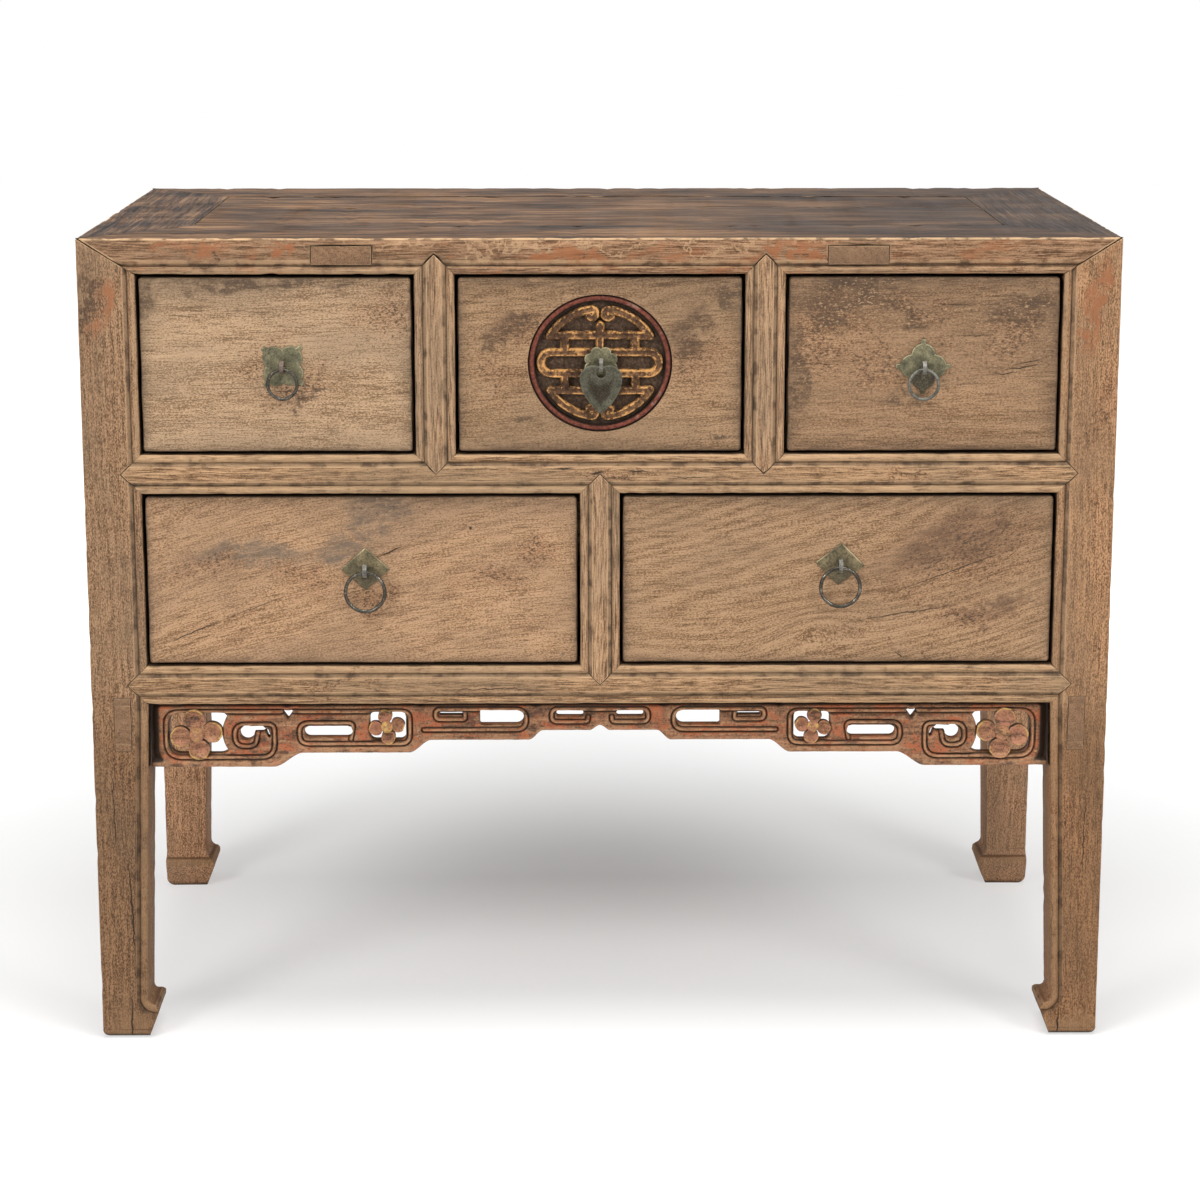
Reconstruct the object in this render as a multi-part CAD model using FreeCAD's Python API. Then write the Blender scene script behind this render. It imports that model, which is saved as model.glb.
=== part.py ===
import FreeCAD, Part
import math
import os

from FreeCAD import Vector

# A lacquered elm coffer table: a flush frame of legs and rails, three drawers over two,
# a pierced apron under the bottom rail, and ring pulls on brass plates.
# X runs along the front, Y runs from the front to the back, Z is up.
# The origin is on the floor, under the middle of the table with its pulls.

# Overall size
WIDTH = 1080.0
DEPTH = 550.0
HEIGHT = 872.0

# Frame of the front: leg and rail faces, and the drawer openings between them
LEG = 60.0
TOP_RAIL = 38.0
RAIL = 42.0
DIVIDER = 42.0
UPPER_OPENING = 189.0
LOWER_OPENING = 186.0
MIDDLE_OPENING = 301.0
RAIL_DEPTH = 45.0

# Bead along every opening and down the legs, with the quirk that sets it off
BEAD = 9.0
BEAD_EASE = 0.4
BEAD_DROP = 3.0
QUIRK = 4.0
QUIRK_DEPTH = 3.2

# Pointed shoulders and the tenons behind them
SHOULDER = 14.0
TENON_THICK = 12.0
TENON_TALL = 26.0
TENON_LONG = 28.0
DIVIDER_TENON_LONG = 15.0

# Foot: the leg tapers to the ankle, then turns in through a cove to a low hoof
ANKLE = 50.0
COVE = 8.0
HOOF_TOP = 37.0
HOOF_EDGE = 5.0
HOOF_EASE = 3.0
SOLE = 50.0
SOLE_ROUND = 10.0

# Top: a mitred frame round two boards, held flat by two battens
TOP_FRONT_MEMBER = 122.0
TOP_BACK_MEMBER = 104.0
TOP_SIDE_MEMBER = 105.0
BOARD_THICK = 12.0
BOARD_RECESS = 0.6
BOARD_TONGUE = 10.0
BOARD_TONGUE_THICK = 5.0
FRONT_BOARD = 196.0
LEG_TENON = 22.0
LEG_TENON_COVER = 10.0
FRAME_TENON_INSET = 70.0
FRAME_TENON_WIDE = 25.0
FRAME_TENON_THICK = 12.0
FRAME_TENON_LONG = 36.0
BATTEN_PLACE = 267.0
BATTEN_WIDE = 62.0
BATTEN_THICK = 24.0
BATTEN_KEY = 4.0
BATTEN_KEY_NECK = 40.0
BATTEN_KEY_FLARE = 4.0
BATTEN_TENON = 19.0

# Sides and back
SIDE_RAIL = 58.0
SIDE_RAIL_DEPTH = 45.0
SIDE_TENON_INSET = 24.0
SIDE_TENON_THICK = 17.0
TENON_CLEAR = 1.0
WEDGE_THICK = 8.0
WEDGE_LONG = 34.0
PANEL_THICK = 10.0
PANEL_TONGUE = 8.0
SIDE_PANEL_INSET = 18.0
BACK_PANEL_INSET = 12.0

# Drawer runners with their guide ribs
RUNNER_THICK = 16.0
RUNNER_LEDGE = 22.0
RUNNER_RIB = 18.0
RUNNER_TENON_WIDE = 20.0
RUNNER_TENON_THICK = 8.0
RUNNER_TENON_LONG = 10.0

# Drawers
DRAWER_GAP = 2.5
DRAWER_SETBACK = 2.0
DRAWER_BACK_ROOM = 48.0
RUNNING_GAP = 0.3
FRONT_THICK = 20.0
FRONT_EASE = 2.5
SIDE_THICK = 10.0
SIDE_LOWER = 9.0
DRAWER_BACK_THICK = 10.0
BOTTOM_THICK = 8.0
BOTTOM_LIFT = 8.0
BOTTOM_TONGUE = 5.0
TAIL_COUNT = 2
TAIL_LAP = 13.0
TAIL_NECK = 36.0
TAIL_FLARE = 5.0

# Pierced apron
APRON_THICK = 14.0
APRON_SETBACK = 8.0
APRON_TONGUE = 6.0
APRON_END_TONGUE = 5.0
APRON_HEAD = 9.5
APRON_BAY_SHARES = (0.142, 0.400, 0.694)
APRON_DROPS = (32.0, 42.5, 56.5, 72.0)
APRON_STEP_RUNS = (15.0, 24.0, 32.0)
APRON_NOTCH_RISE = 5.5
APRON_NOTCH_RUN = 11.0
APRON_STILE = 17.0
APRON_WEB = 18.0
APRON_RAIL = 10.0
CENTRE_SLOT_TALL = 5.3
LOOP_SLOT_TALL = 15.9
HOOK_SLOT_LONG = 28.7
HOOK_SLOT_TALL = 4.2
LONG_SLOT_TALL = 14.3
LONG_SLOT_DROP = 25.4
SCROLL_TALL = 20.0
SCROLL_DROP = 28.0
SCROLL_HOOK = 9.0
SCROLL_BACK = 33.5
SCROLL_SWELL = 7.0
SMALL_WINDOW = 41.0
LARGE_WINDOW = 60.0
WINDOW_CANT = 7.0
SLOT_CANT = 1.6
VEE_HALF = 6.2
VEE_DROP = 10.5
LARGE_FLOWER = 28.5
LARGE_BOSS = 9.5
SMALL_FLOWER = 20.0
SMALL_BOSS = 6.5
PETAL_CLEFT = 0.48
FLOWER_TURN = 10.0
FLOWER_STEPS = 20
BOSS_STEPS = 8
FLOWER_PROUD = 1.5
BOSS_PROUD = 3.0

# Roundel let into the middle drawer
ROUNDEL_WIDE = 150.0
ROUNDEL_TALL = 144.0
ROUNDEL_THICK = 11.0
ROUNDEL_FLOOR = 4.0
ROUNDEL_RING = 8.5
ROUNDEL_LIFT = 1.5
ROUNDEL_FIT = 0.15
OVAL_STEPS = 32
LATTICE_BAR = 8.0
LATTICE_LOOP_WIDE = 131.0
LATTICE_LOOP_TALL = 30.0
LATTICE_ARM_WIDE = 104.0
LATTICE_ARM_LIFT = 29.0
LATTICE_POST = 36.5
LATTICE_ARC_GAP = 4.5
LATTICE_ARC_LOW = 28.0
LATTICE_ARC_HIGH = 80.0
LATTICE_ARC_STEPS = 4
LATTICE_CURL = 9.0
LATTICE_HOOK = 4.0

# Pulls: plates, staples, rings and the leaf drop
PLATE_THICK = 1.6
PLATE_LOBE = 12.5
PLATE_LOBE_PLACE = 11.5
PLATE_LOBE_COUNT = 4
PLATE_TAB = 5.0
PLATE_TAB_LONG = 4.5
LOBE_STEPS = 5
DIAMOND_WIDE = 52.0
DIAMOND_TALL = 46.0
ROSETTE_PLACE = 12.0
ROSETTE_LOBE = 6.0
ROSETTE_COUNT = 8
STAPLE_STRIP = 2.2
STAPLE_WIDE = 4.4
STAPLE_SPLIT = 0.3
STAPLE_CLEAR = 0.3
STAPLE_TAIL = 16.0
EYE_LONG = 12.5
EYE_TALL = 11.5
EYE_CANT = 3.4
EYE_CLEAR = 0.8
RING_FLATS = 6
RING_SIDES = 18
LOOP_SIDES = 10
SMALL_RING = 35.0
SMALL_RING_WIRE = 3.6
LARGE_RING = 46.5
LARGE_RING_WIRE = 4.0
LEAF_WIDE = 44.0
LEAF_TALL = 52.0
LEAF_SHOULDER = 15.0
LEAF_NOTCH = 3.0
LEAF_CREST = 13.0
LEAF_WAIST = 16.3
LEAF_WAIST_DROP = 33.0
LEAF_STEPS = 5
LEAF_THICK = 2.0
LEAF_LOOP = 16.0
LEAF_LOOP_WIRE = 3.0

# Places worked out from the sizes above
FRONT = -DEPTH / 2
BACK = DEPTH / 2
LEFT = -WIDTH / 2
UPPER_TOP = HEIGHT - TOP_RAIL
UPPER_BOTTOM = UPPER_TOP - UPPER_OPENING
LOWER_TOP = UPPER_BOTTOM - RAIL
LOWER_BOTTOM = LOWER_TOP - LOWER_OPENING
RAIL_BOTTOM = LOWER_BOTTOM - RAIL
OPENING_END = WIDTH / 2 - LEG
MIDDLE_END = MIDDLE_OPENING / 2
DIVIDER_PLACE = MIDDLE_END + DIVIDER / 2
ANKLE_HEIGHT = HOOF_TOP + COVE
HOOF = ANKLE + COVE + HOOF_EASE
SIDE_RAIL_TOP = RAIL_BOTTOM + (RAIL - TENON_TALL) / 2 - TENON_CLEAR
DRAWER_FACE = FRONT + DRAWER_SETBACK
DRAWER_END = BACK - BACK_PANEL_INSET - PANEL_THICK - DRAWER_BACK_ROOM
FRONT_INSIDE = DRAWER_FACE + FRONT_THICK
OUTWARD = Vector(0, -1, 0)
QUARTER_TURN = 90.0
CUT_MARGIN = 1.0
ROUND_SLACK = 0.2

# How far the staples stand out of the front, which moves the middle of the whole piece forwards
PULL_REACH = PLATE_THICK + STAPLE_STRIP + EYE_LONG + STAPLE_STRIP / 2 - DRAWER_SETBACK
TO_ORIGIN = Vector(0, PULL_REACH / 2, 0)

# Each drawer: the ends of its opening along X, and its opening's bottom and top
OPENINGS = {
    "upper_left": (-OPENING_END, -MIDDLE_END - DIVIDER, UPPER_BOTTOM, UPPER_TOP),
    "upper_middle": (-MIDDLE_END, MIDDLE_END, UPPER_BOTTOM, UPPER_TOP),
    "upper_right": (MIDDLE_END + DIVIDER, OPENING_END, UPPER_BOTTOM, UPPER_TOP),
    "lower_left": (-OPENING_END, -DIVIDER / 2, LOWER_BOTTOM, LOWER_TOP),
    "lower_right": (DIVIDER / 2, OPENING_END, LOWER_BOTTOM, LOWER_TOP),
}

# Each pull: its plate, the turn of the plate, its ring, and its offset from the drawer's middle
PULLS = {
    "upper_left": ("quatrefoil", -2.0, "small", 7.0, -1.0),
    "upper_middle": ("rosette", 0.0, "leaf", 1.0, 1.5),
    "upper_right": ("quatrefoil", 45.0, "small", 0.0, -2.0),
    "lower_left": ("diamond", 0.0, "large", 3.5, 12.5),
    "lower_right": ("diamond", 4.0, "large", 2.5, 17.0),
}


def box(x0, x1, y0, y1, z0, z1):
    """Block between two corners."""
    return Part.makeBox(x1 - x0, y1 - y0, z1 - z0, Vector(x0, y0, z0))


def prism(points, along):
    """Straight-edged outline pushed along a vector."""
    corners = [Vector(*point) for point in points]
    return Part.Face(Part.makePolygon(corners + corners[:1])).extrude(Vector(*along))


def solid_of(edges, along):
    """Closed outline of lines and curves pushed along a vector."""
    wire = Part.Wire([edge.toShape() for edge in edges])
    return Part.Face(wire).extrude(Vector(*along))


def rod(radius, start, along):
    """Round bar from a point along a vector."""
    return Part.makeCylinder(radius, Vector(*along).Length, Vector(*start), Vector(*along))


def mirror_x(shape):
    """The same piece on the other side of the table."""
    return shape.mirror(Vector(0, 0, 0), Vector(1, 0, 0))


def mirror_y(shape):
    """The same piece at the back of the table."""
    return shape.mirror(Vector(0, 0, 0), Vector(0, 1, 0))


def joined(*shapes):
    """One clean solid from touching pieces of wood or metal."""
    return shapes[0].fuse(list(shapes[1:])).removeSplitter()


def rounded_block(x0, x1, y0, y1, z0, z1, radius):
    """Block with its four edges along Y rounded, no more than its walls allow."""
    block = box(x0, x1, y0, y1, z0, z1)
    limit = min(x1 - x0, z1 - z0) / 2 - ROUND_SLACK
    edges = [edge for edge in block.Edges if edge.Vertexes[0].Y != edge.Vertexes[1].Y]
    return block.makeFillet(min(radius, limit), edges)


def canted_block(x0, x1, y0, y1, z0, z1, cant):
    """Block with its four edges along Y cut off at 45 degrees."""
    return prism([(x0 + cant, y0, z0), (x1 - cant, y0, z0), (x1, y0, z0 + cant), (x1, y0, z1 - cant),
                  (x1 - cant, y0, z1), (x0 + cant, y0, z1), (x0, y0, z1 - cant), (x0, y0, z0 + cant)],
                 (0, y1 - y0, 0))


def bead_profile(arris, across):
    """Outline of the wood that the bead plane takes off beside an arris on the front face."""
    arris = Vector(*arris)
    across = Vector(*across)

    def at(reach, sink):
        return arris + across * reach - OUTWARD * sink

    return [
        Part.LineSegment(at(-CUT_MARGIN, -CUT_MARGIN), at(BEAD + QUIRK, -CUT_MARGIN)),
        Part.LineSegment(at(BEAD + QUIRK, -CUT_MARGIN), at(BEAD + QUIRK, 0)),
        Part.LineSegment(at(BEAD + QUIRK, 0), at(BEAD, QUIRK_DEPTH)),
        Part.Arc(at(BEAD, QUIRK_DEPTH), at(BEAD / 2, BEAD_EASE), at(0, BEAD_DROP)),
        Part.LineSegment(at(0, BEAD_DROP), at(-CUT_MARGIN, BEAD_DROP)),
        Part.LineSegment(at(-CUT_MARGIN, BEAD_DROP), at(-CUT_MARGIN, -CUT_MARGIN)),
    ]


def bead_waste(arris, along, across):
    """Wood that the bead plane takes off along a straight arris."""
    return solid_of(bead_profile(arris, across), along)


def turned_bead(arris, centre, across):
    """Wood that the bead plane takes off round a quarter turn, down and in from an arris."""
    wire = Part.Wire([edge.toShape() for edge in bead_profile(arris, across)])
    return Part.Face(wire).revolve(Vector(*centre), OUTWARD, QUARTER_TURN)


def leg_outline(at):
    """Outline of a leg seen square on: straight, tapered below the rails, ending in the hoof."""
    slack = SOLE_ROUND * (1 - math.sqrt(0.5))
    hollow = COVE * (1 - math.sqrt(0.5))
    lip = HOOF_TOP - HOOF_EASE
    return [
        Part.LineSegment(at(SOLE_ROUND, 0), at(SOLE, 0)),
        Part.LineSegment(at(SOLE, 0), at(HOOF, lip - HOOF_EDGE)),
        Part.LineSegment(at(HOOF, lip - HOOF_EDGE), at(HOOF, lip)),
        Part.LineSegment(at(HOOF, lip), at(ANKLE + COVE, HOOF_TOP)),
        Part.Arc(at(ANKLE + COVE, HOOF_TOP), at(ANKLE + hollow, HOOF_TOP + hollow),
                 at(ANKLE, ANKLE_HEIGHT)),
        Part.LineSegment(at(ANKLE, ANKLE_HEIGHT), at(LEG, RAIL_BOTTOM)),
        Part.LineSegment(at(LEG, RAIL_BOTTOM), at(LEG, HEIGHT)),
        Part.LineSegment(at(LEG, HEIGHT), at(0, HEIGHT)),
        Part.LineSegment(at(0, HEIGHT), at(0, SOLE_ROUND)),
        Part.Arc(at(0, SOLE_ROUND), at(slack, slack), at(SOLE_ROUND, 0)),
    ]


def leg_blank():
    """Front left leg before its mortises: hoof turned in both ways, top mitred to two rails."""
    reach = HOOF + CUT_MARGIN
    seen_front = solid_of(leg_outline(lambda u, z: Vector(LEFT + u, FRONT, z)), (0, reach, 0))
    seen_side = solid_of(leg_outline(lambda v, z: Vector(LEFT, FRONT + v, z)), (reach, 0, 0))
    blank = seen_front.common(seen_side)
    over = HEIGHT + CUT_MARGIN
    low = HEIGHT - TOP_RAIL * reach / LEG
    blank = blank.cut([
        prism([(LEFT, FRONT, HEIGHT), (LEFT + reach, FRONT, low), (LEFT + reach, FRONT, over),
               (LEFT, FRONT, over)], (0, reach, 0)),
        prism([(LEFT, FRONT, HEIGHT), (LEFT, FRONT + reach, low), (LEFT, FRONT + reach, over),
               (LEFT, FRONT, over)], (reach, 0, 0)),
    ])
    inset = (LEG - LEG_TENON) / 2
    tenon = box(LEFT + inset, LEFT + inset + LEG_TENON, FRONT + inset, FRONT + inset + LEG_TENON,
                UPPER_TOP - TOP_RAIL, HEIGHT - LEG_TENON_COVER)
    return joined(blank, tenon)


def leg_bead():
    """Bead waste down the inner arris of the front left leg, along its taper and out over its hoof."""
    knee = (LEFT + LEG, FRONT, RAIL_BOTTOM)
    ankle = (LEFT + ANKLE, FRONT, ANKLE_HEIGHT)
    turn = LEFT + ANKLE + COVE
    outer = (-1, 0, 0)
    return [
        bead_waste(knee, (0, 0, HEIGHT - RAIL_BOTTOM), outer),
        bead_waste(knee, (ANKLE - LEG, 0, ANKLE_HEIGHT - RAIL_BOTTOM), outer),
        turned_bead(ankle, (turn, FRONT, ANKLE_HEIGHT), outer),
        bead_waste((turn, FRONT, HOOF_TOP), (HOOF_EASE + CUT_MARGIN, 0, 0), (0, 0, -1)),
    ]


def pointed_rail(bottom):
    """Front rail before its beads: pointed shoulders let into the legs, and stub tenons."""
    middle = bottom + RAIL / 2
    face = prism([(-OPENING_END, FRONT, bottom), (OPENING_END, FRONT, bottom),
                  (OPENING_END + RAIL / 2, FRONT, middle), (OPENING_END, FRONT, bottom + RAIL),
                  (-OPENING_END, FRONT, bottom + RAIL), (-OPENING_END - RAIL / 2, FRONT, middle)],
                 (0, SHOULDER, 0))
    body = box(-OPENING_END, OPENING_END, FRONT, FRONT + RAIL_DEPTH, bottom, bottom + RAIL)
    reach = OPENING_END + TENON_LONG
    tenons = box(-reach, reach, FRONT + SHOULDER, FRONT + SHOULDER + TENON_THICK,
                 middle - TENON_TALL / 2, middle + TENON_TALL / 2)
    return joined(face, body, tenons)


def rail_beads(bottom):
    """Bead waste along both edges of a front rail."""
    reach = OPENING_END + TENON_LONG
    along = (2 * reach, 0, 0)
    return [bead_waste((-reach, FRONT, bottom), along, (0, 0, 1)),
            bead_waste((-reach, FRONT, bottom + RAIL), along, (0, 0, -1))]


def pointed_divider(place, bottom, top):
    """Upright between two drawers before its beads, pointed into the rails above and below."""
    half = DIVIDER / 2
    face = prism([(place - half, FRONT, bottom), (place, FRONT, bottom - half),
                  (place + half, FRONT, bottom), (place + half, FRONT, top),
                  (place, FRONT, top + half), (place - half, FRONT, top)], (0, SHOULDER, 0))
    body = box(place - half, place + half, FRONT, FRONT + RAIL_DEPTH, bottom, top)
    tenon = box(place - TENON_TALL / 2, place + TENON_TALL / 2,
                FRONT + SHOULDER, FRONT + SHOULDER + TENON_THICK,
                bottom - DIVIDER_TENON_LONG, top + DIVIDER_TENON_LONG)
    return joined(face, body, tenon)


def divider_beads(place, bottom, top):
    """Bead waste along both edges of an upright."""
    half = DIVIDER / 2
    along = (0, 0, top - bottom + DIVIDER)
    return [bead_waste((place - half, FRONT, bottom - half), along, (1, 0, 0)),
            bead_waste((place + half, FRONT, bottom - half), along, (-1, 0, 0))]


def top_frame():
    """Front, back, left and right members of the top, mitred at the corners and tenoned."""
    side_in = LEFT + TOP_SIDE_MEMBER
    front_in = FRONT + TOP_FRONT_MEMBER
    back_in = BACK - TOP_BACK_MEMBER
    up = (0, 0, TOP_RAIL)
    front = prism([(LEFT, FRONT, UPPER_TOP), (-LEFT, FRONT, UPPER_TOP),
                   (-side_in, front_in, UPPER_TOP), (side_in, front_in, UPPER_TOP)], up)
    back = prism([(LEFT, BACK, UPPER_TOP), (-LEFT, BACK, UPPER_TOP),
                  (-side_in, back_in, UPPER_TOP), (side_in, back_in, UPPER_TOP)], up)
    left = prism([(LEFT, FRONT, UPPER_TOP), (side_in, front_in, UPPER_TOP),
                  (side_in, back_in, UPPER_TOP), (LEFT, BACK, UPPER_TOP)], up)
    tenon_x = LEFT + FRAME_TENON_INSET
    middle = UPPER_TOP + TOP_RAIL / 2
    front_end = FRONT + FRAME_TENON_INSET * TOP_FRONT_MEMBER / TOP_SIDE_MEMBER - FRAME_TENON_LONG
    back_end = BACK - FRAME_TENON_INSET * TOP_BACK_MEMBER / TOP_SIDE_MEMBER + FRAME_TENON_LONG
    tenon = box(tenon_x, tenon_x + FRAME_TENON_WIDE, front_end, back_end,
                middle - FRAME_TENON_THICK / 2, middle + FRAME_TENON_THICK / 2)
    inner = box(side_in, -side_in, FRONT, BACK, UPPER_TOP, HEIGHT)
    left = joined(left, tenon.cut(inner))
    right = mirror_x(left)
    bead = bead_waste((LEFT, FRONT, UPPER_TOP), (WIDTH, 0, 0), (0, 0, 1))
    front = front.cut([left, right, bead])
    back = back.cut([left, right])
    return {"front": front, "back": back, "left": left, "right": right}


def top_boards():
    """Two boards laid side by side, tongued into the frame all round."""
    side_in = LEFT + TOP_SIDE_MEMBER
    front_in = FRONT + TOP_FRONT_MEMBER
    back_in = BACK - TOP_BACK_MEMBER
    seam = front_in + FRONT_BOARD
    top = HEIGHT - BOARD_RECESS
    low = top - BOARD_THICK
    boards = []
    for y0, y1, t0, t1 in ((front_in, seam, front_in - BOARD_TONGUE, seam),
                           (seam, back_in, seam, back_in + BOARD_TONGUE)):
        board = box(side_in, -side_in, y0, y1, low, top)
        tongue = box(side_in - BOARD_TONGUE, -side_in + BOARD_TONGUE, t0, t1,
                     low, low + BOARD_TONGUE_THICK)
        boards.append(joined(board, tongue))
    return boards


def batten(place):
    """Batten under the boards: dovetail key on top, tenons through the front and back members."""
    front_in = FRONT + TOP_FRONT_MEMBER
    back_in = BACK - TOP_BACK_MEMBER
    under = HEIGHT - BOARD_RECESS - BOARD_THICK
    half = BATTEN_WIDE / 2
    neck = BATTEN_KEY_NECK / 2
    flare = neck + BATTEN_KEY_FLARE
    length = (0, back_in - front_in, 0)
    bar = box(place - half, place + half, front_in, back_in, under - BATTEN_THICK, under)
    key = prism([(place - neck, front_in, under), (place + neck, front_in, under),
                 (place + flare, front_in, under + BATTEN_KEY),
                 (place - flare, front_in, under + BATTEN_KEY)], length)
    low = under + BATTEN_KEY - BATTEN_TENON
    through = [box(place - half, place + half, FRONT, front_in, low, low + BATTEN_TENON),
               box(place - half, place + half, back_in, BACK, low, low + BATTEN_TENON)]
    return joined(bar, key, *through)


def side_wedges():
    """Wedges that lock the left side rail's through tenons, above and below each end."""
    inside = LEFT + SIDE_TENON_INSET
    top = SIDE_RAIL_TOP
    bottom = top - SIDE_RAIL
    across = (SIDE_TENON_THICK, 0, 0)
    front = [
        prism([(inside, FRONT, top), (inside, FRONT, top - WEDGE_THICK),
               (inside, FRONT + WEDGE_LONG, top)], across),
        prism([(inside, FRONT, bottom), (inside, FRONT, bottom + WEDGE_THICK),
               (inside, FRONT + WEDGE_LONG, bottom)], across),
    ]
    return front + [mirror_y(wedge) for wedge in front]


def side_rail(legs, wedges):
    """Left bottom rail, shouldered against the tapered legs and tenoned right through them."""
    top = SIDE_RAIL_TOP
    bottom = top - SIDE_RAIL
    body = box(LEFT, LEFT + SIDE_RAIL_DEPTH, FRONT + ANKLE, BACK - ANKLE, bottom, top).cut(legs)
    tenon = box(LEFT + SIDE_TENON_INSET, LEFT + SIDE_TENON_INSET + SIDE_TENON_THICK,
                FRONT, BACK, bottom, top)
    return joined(body, tenon.cut(wedges))


def side_panel():
    """Left side panel, tongued into the legs, the top and the side rail."""
    x0 = LEFT + SIDE_PANEL_INSET
    reach = DEPTH / 2 - LEG + PANEL_TONGUE
    return box(x0, x0 + PANEL_THICK, -reach, reach,
               SIDE_RAIL_TOP - PANEL_TONGUE, UPPER_TOP + PANEL_TONGUE)


def back_rail(bottom):
    """Square-shouldered back rail with a stub tenon into each back leg."""
    middle = bottom + RAIL / 2
    body = box(-OPENING_END, OPENING_END, BACK - RAIL_DEPTH, BACK, bottom, bottom + RAIL)
    reach = OPENING_END + TENON_LONG
    tenons = box(-reach, reach, BACK - SHOULDER - TENON_THICK, BACK - SHOULDER,
                 middle - TENON_TALL / 2, middle + TENON_TALL / 2)
    return joined(body, tenons)


def back_panel(bottom, top):
    """Back panel, tongued into the back legs and the rails above and below it."""
    reach = OPENING_END + PANEL_TONGUE
    y1 = BACK - BACK_PANEL_INSET
    return box(-reach, reach, y1 - PANEL_THICK, y1, bottom - PANEL_TONGUE, top + PANEL_TONGUE)


def runner(x0, x1, rib_x0, rib_x1, top):
    """Runner from the front rail to the back rail, with a guide rib between or beside drawers."""
    y0 = FRONT + RAIL_DEPTH
    y1 = BACK - RAIL_DEPTH
    shelf = box(x0, x1, y0, y1, top - RUNNER_THICK, top)
    rib = box(rib_x0, rib_x1, y0, y1, top, top + RUNNER_RIB)
    ledges = [(low, high) for low, high in ((x0, rib_x0), (rib_x1, x1)) if high > low]
    centre = sum(low + high for low, high in ledges) / (2 * len(ledges))
    half = min(RUNNER_TENON_WIDE, RUNNER_LEDGE) / 2
    middle = top - RUNNER_THICK / 2
    tenon = box(centre - half, centre + half, y0 - RUNNER_TENON_LONG, y1 + RUNNER_TENON_LONG,
                middle - RUNNER_TENON_THICK / 2, middle + RUNNER_TENON_THICK / 2)
    return joined(shelf, rib, tenon)


def runners(legs):
    """Runners of both drawer rows, notched round the legs."""
    panel_face = LEFT + SIDE_PANEL_INSET + PANEL_THICK
    made = []
    for top, dividers in ((UPPER_BOTTOM, (-DIVIDER_PLACE, DIVIDER_PLACE)), (LOWER_BOTTOM, (0.0,))):
        side = runner(panel_face, -OPENING_END + RUNNER_LEDGE, panel_face, -OPENING_END, top)
        side = side.cut(legs)
        made += [side, mirror_x(side)]
        for place in dividers:
            half = DIVIDER / 2
            made.append(runner(place - half - RUNNER_LEDGE, place + half + RUNNER_LEDGE,
                               place - half, place + half, top))
    return made


def apron_outline(ends, drops):
    """Stepped lower edge of half the apron, each step an ogee, with a notch at the middle."""
    top = RAIL_BOTTOM + APRON_TONGUE
    y = FRONT + APRON_SETBACK

    def at(x, drop):
        return Vector(x, y, RAIL_BOTTOM - drop)

    def ogee(x0, drop0, x1, drop1):
        run = x1 - x0
        fall = drop1 - drop0
        turn = math.atan(fall / run)
        radius = (run * run + fall * fall) / (4 * fall)
        ease_x = radius * math.sin(turn)
        ease_drop = radius * (1 - math.cos(turn))
        inflection = at((x0 + x1) / 2, (drop0 + drop1) / 2)
        return [Part.Arc(at(x0, drop0), at(x0 + ease_x, drop0 + ease_drop), inflection),
                Part.Arc(inflection, at(x1 - ease_x, drop1 - ease_drop), at(x1, drop1))]

    peak = drops[0] - APRON_NOTCH_RISE
    edges = [Part.LineSegment(Vector(0, y, top), at(0, peak))]
    edges += ogee(0, peak, APRON_NOTCH_RUN, drops[0])
    place = APRON_NOTCH_RUN
    for end, run, drop, lower in zip(ends, APRON_STEP_RUNS, drops, drops[1:]):
        edges.append(Part.LineSegment(at(place, drop), at(end - run / 2, drop)))
        edges += ogee(end - run / 2, drop, end + run / 2, lower)
        place = end + run / 2
    tip = OPENING_END + APRON_END_TONGUE
    edges += [Part.LineSegment(at(place, drops[-1]), at(tip, drops[-1])),
              Part.LineSegment(at(tip, drops[-1]), Vector(tip, y, top)),
              Part.LineSegment(Vector(tip, y, top), Vector(0, y, top))]
    return edges


def flower(x, z, reach, boss):
    """Four petals about a raised boss, carved from the apron's own thickness."""
    y = FRONT + APRON_SETBACK - FLOWER_PROUD
    outline = []
    for count in range(FLOWER_STEPS):
        angle = 2 * math.pi * count / FLOWER_STEPS
        swell = PETAL_CLEFT + (1 - PETAL_CLEFT) * math.sqrt(abs(math.cos(2 * angle)))
        lean = angle + math.radians(FLOWER_TURN)
        outline.append((x + reach * swell * math.cos(lean), y, z + reach * swell * math.sin(lean)))
    dome = []
    for count in range(BOSS_STEPS):
        angle = 2 * math.pi * count / BOSS_STEPS
        dome.append((x + boss * math.cos(angle), y - BOSS_PROUD, z + boss * math.sin(angle)))
    return joined(prism(outline, (0, APRON_THICK, 0)), prism(dome, (0, 2 * BOSS_PROUD, 0)))


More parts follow.
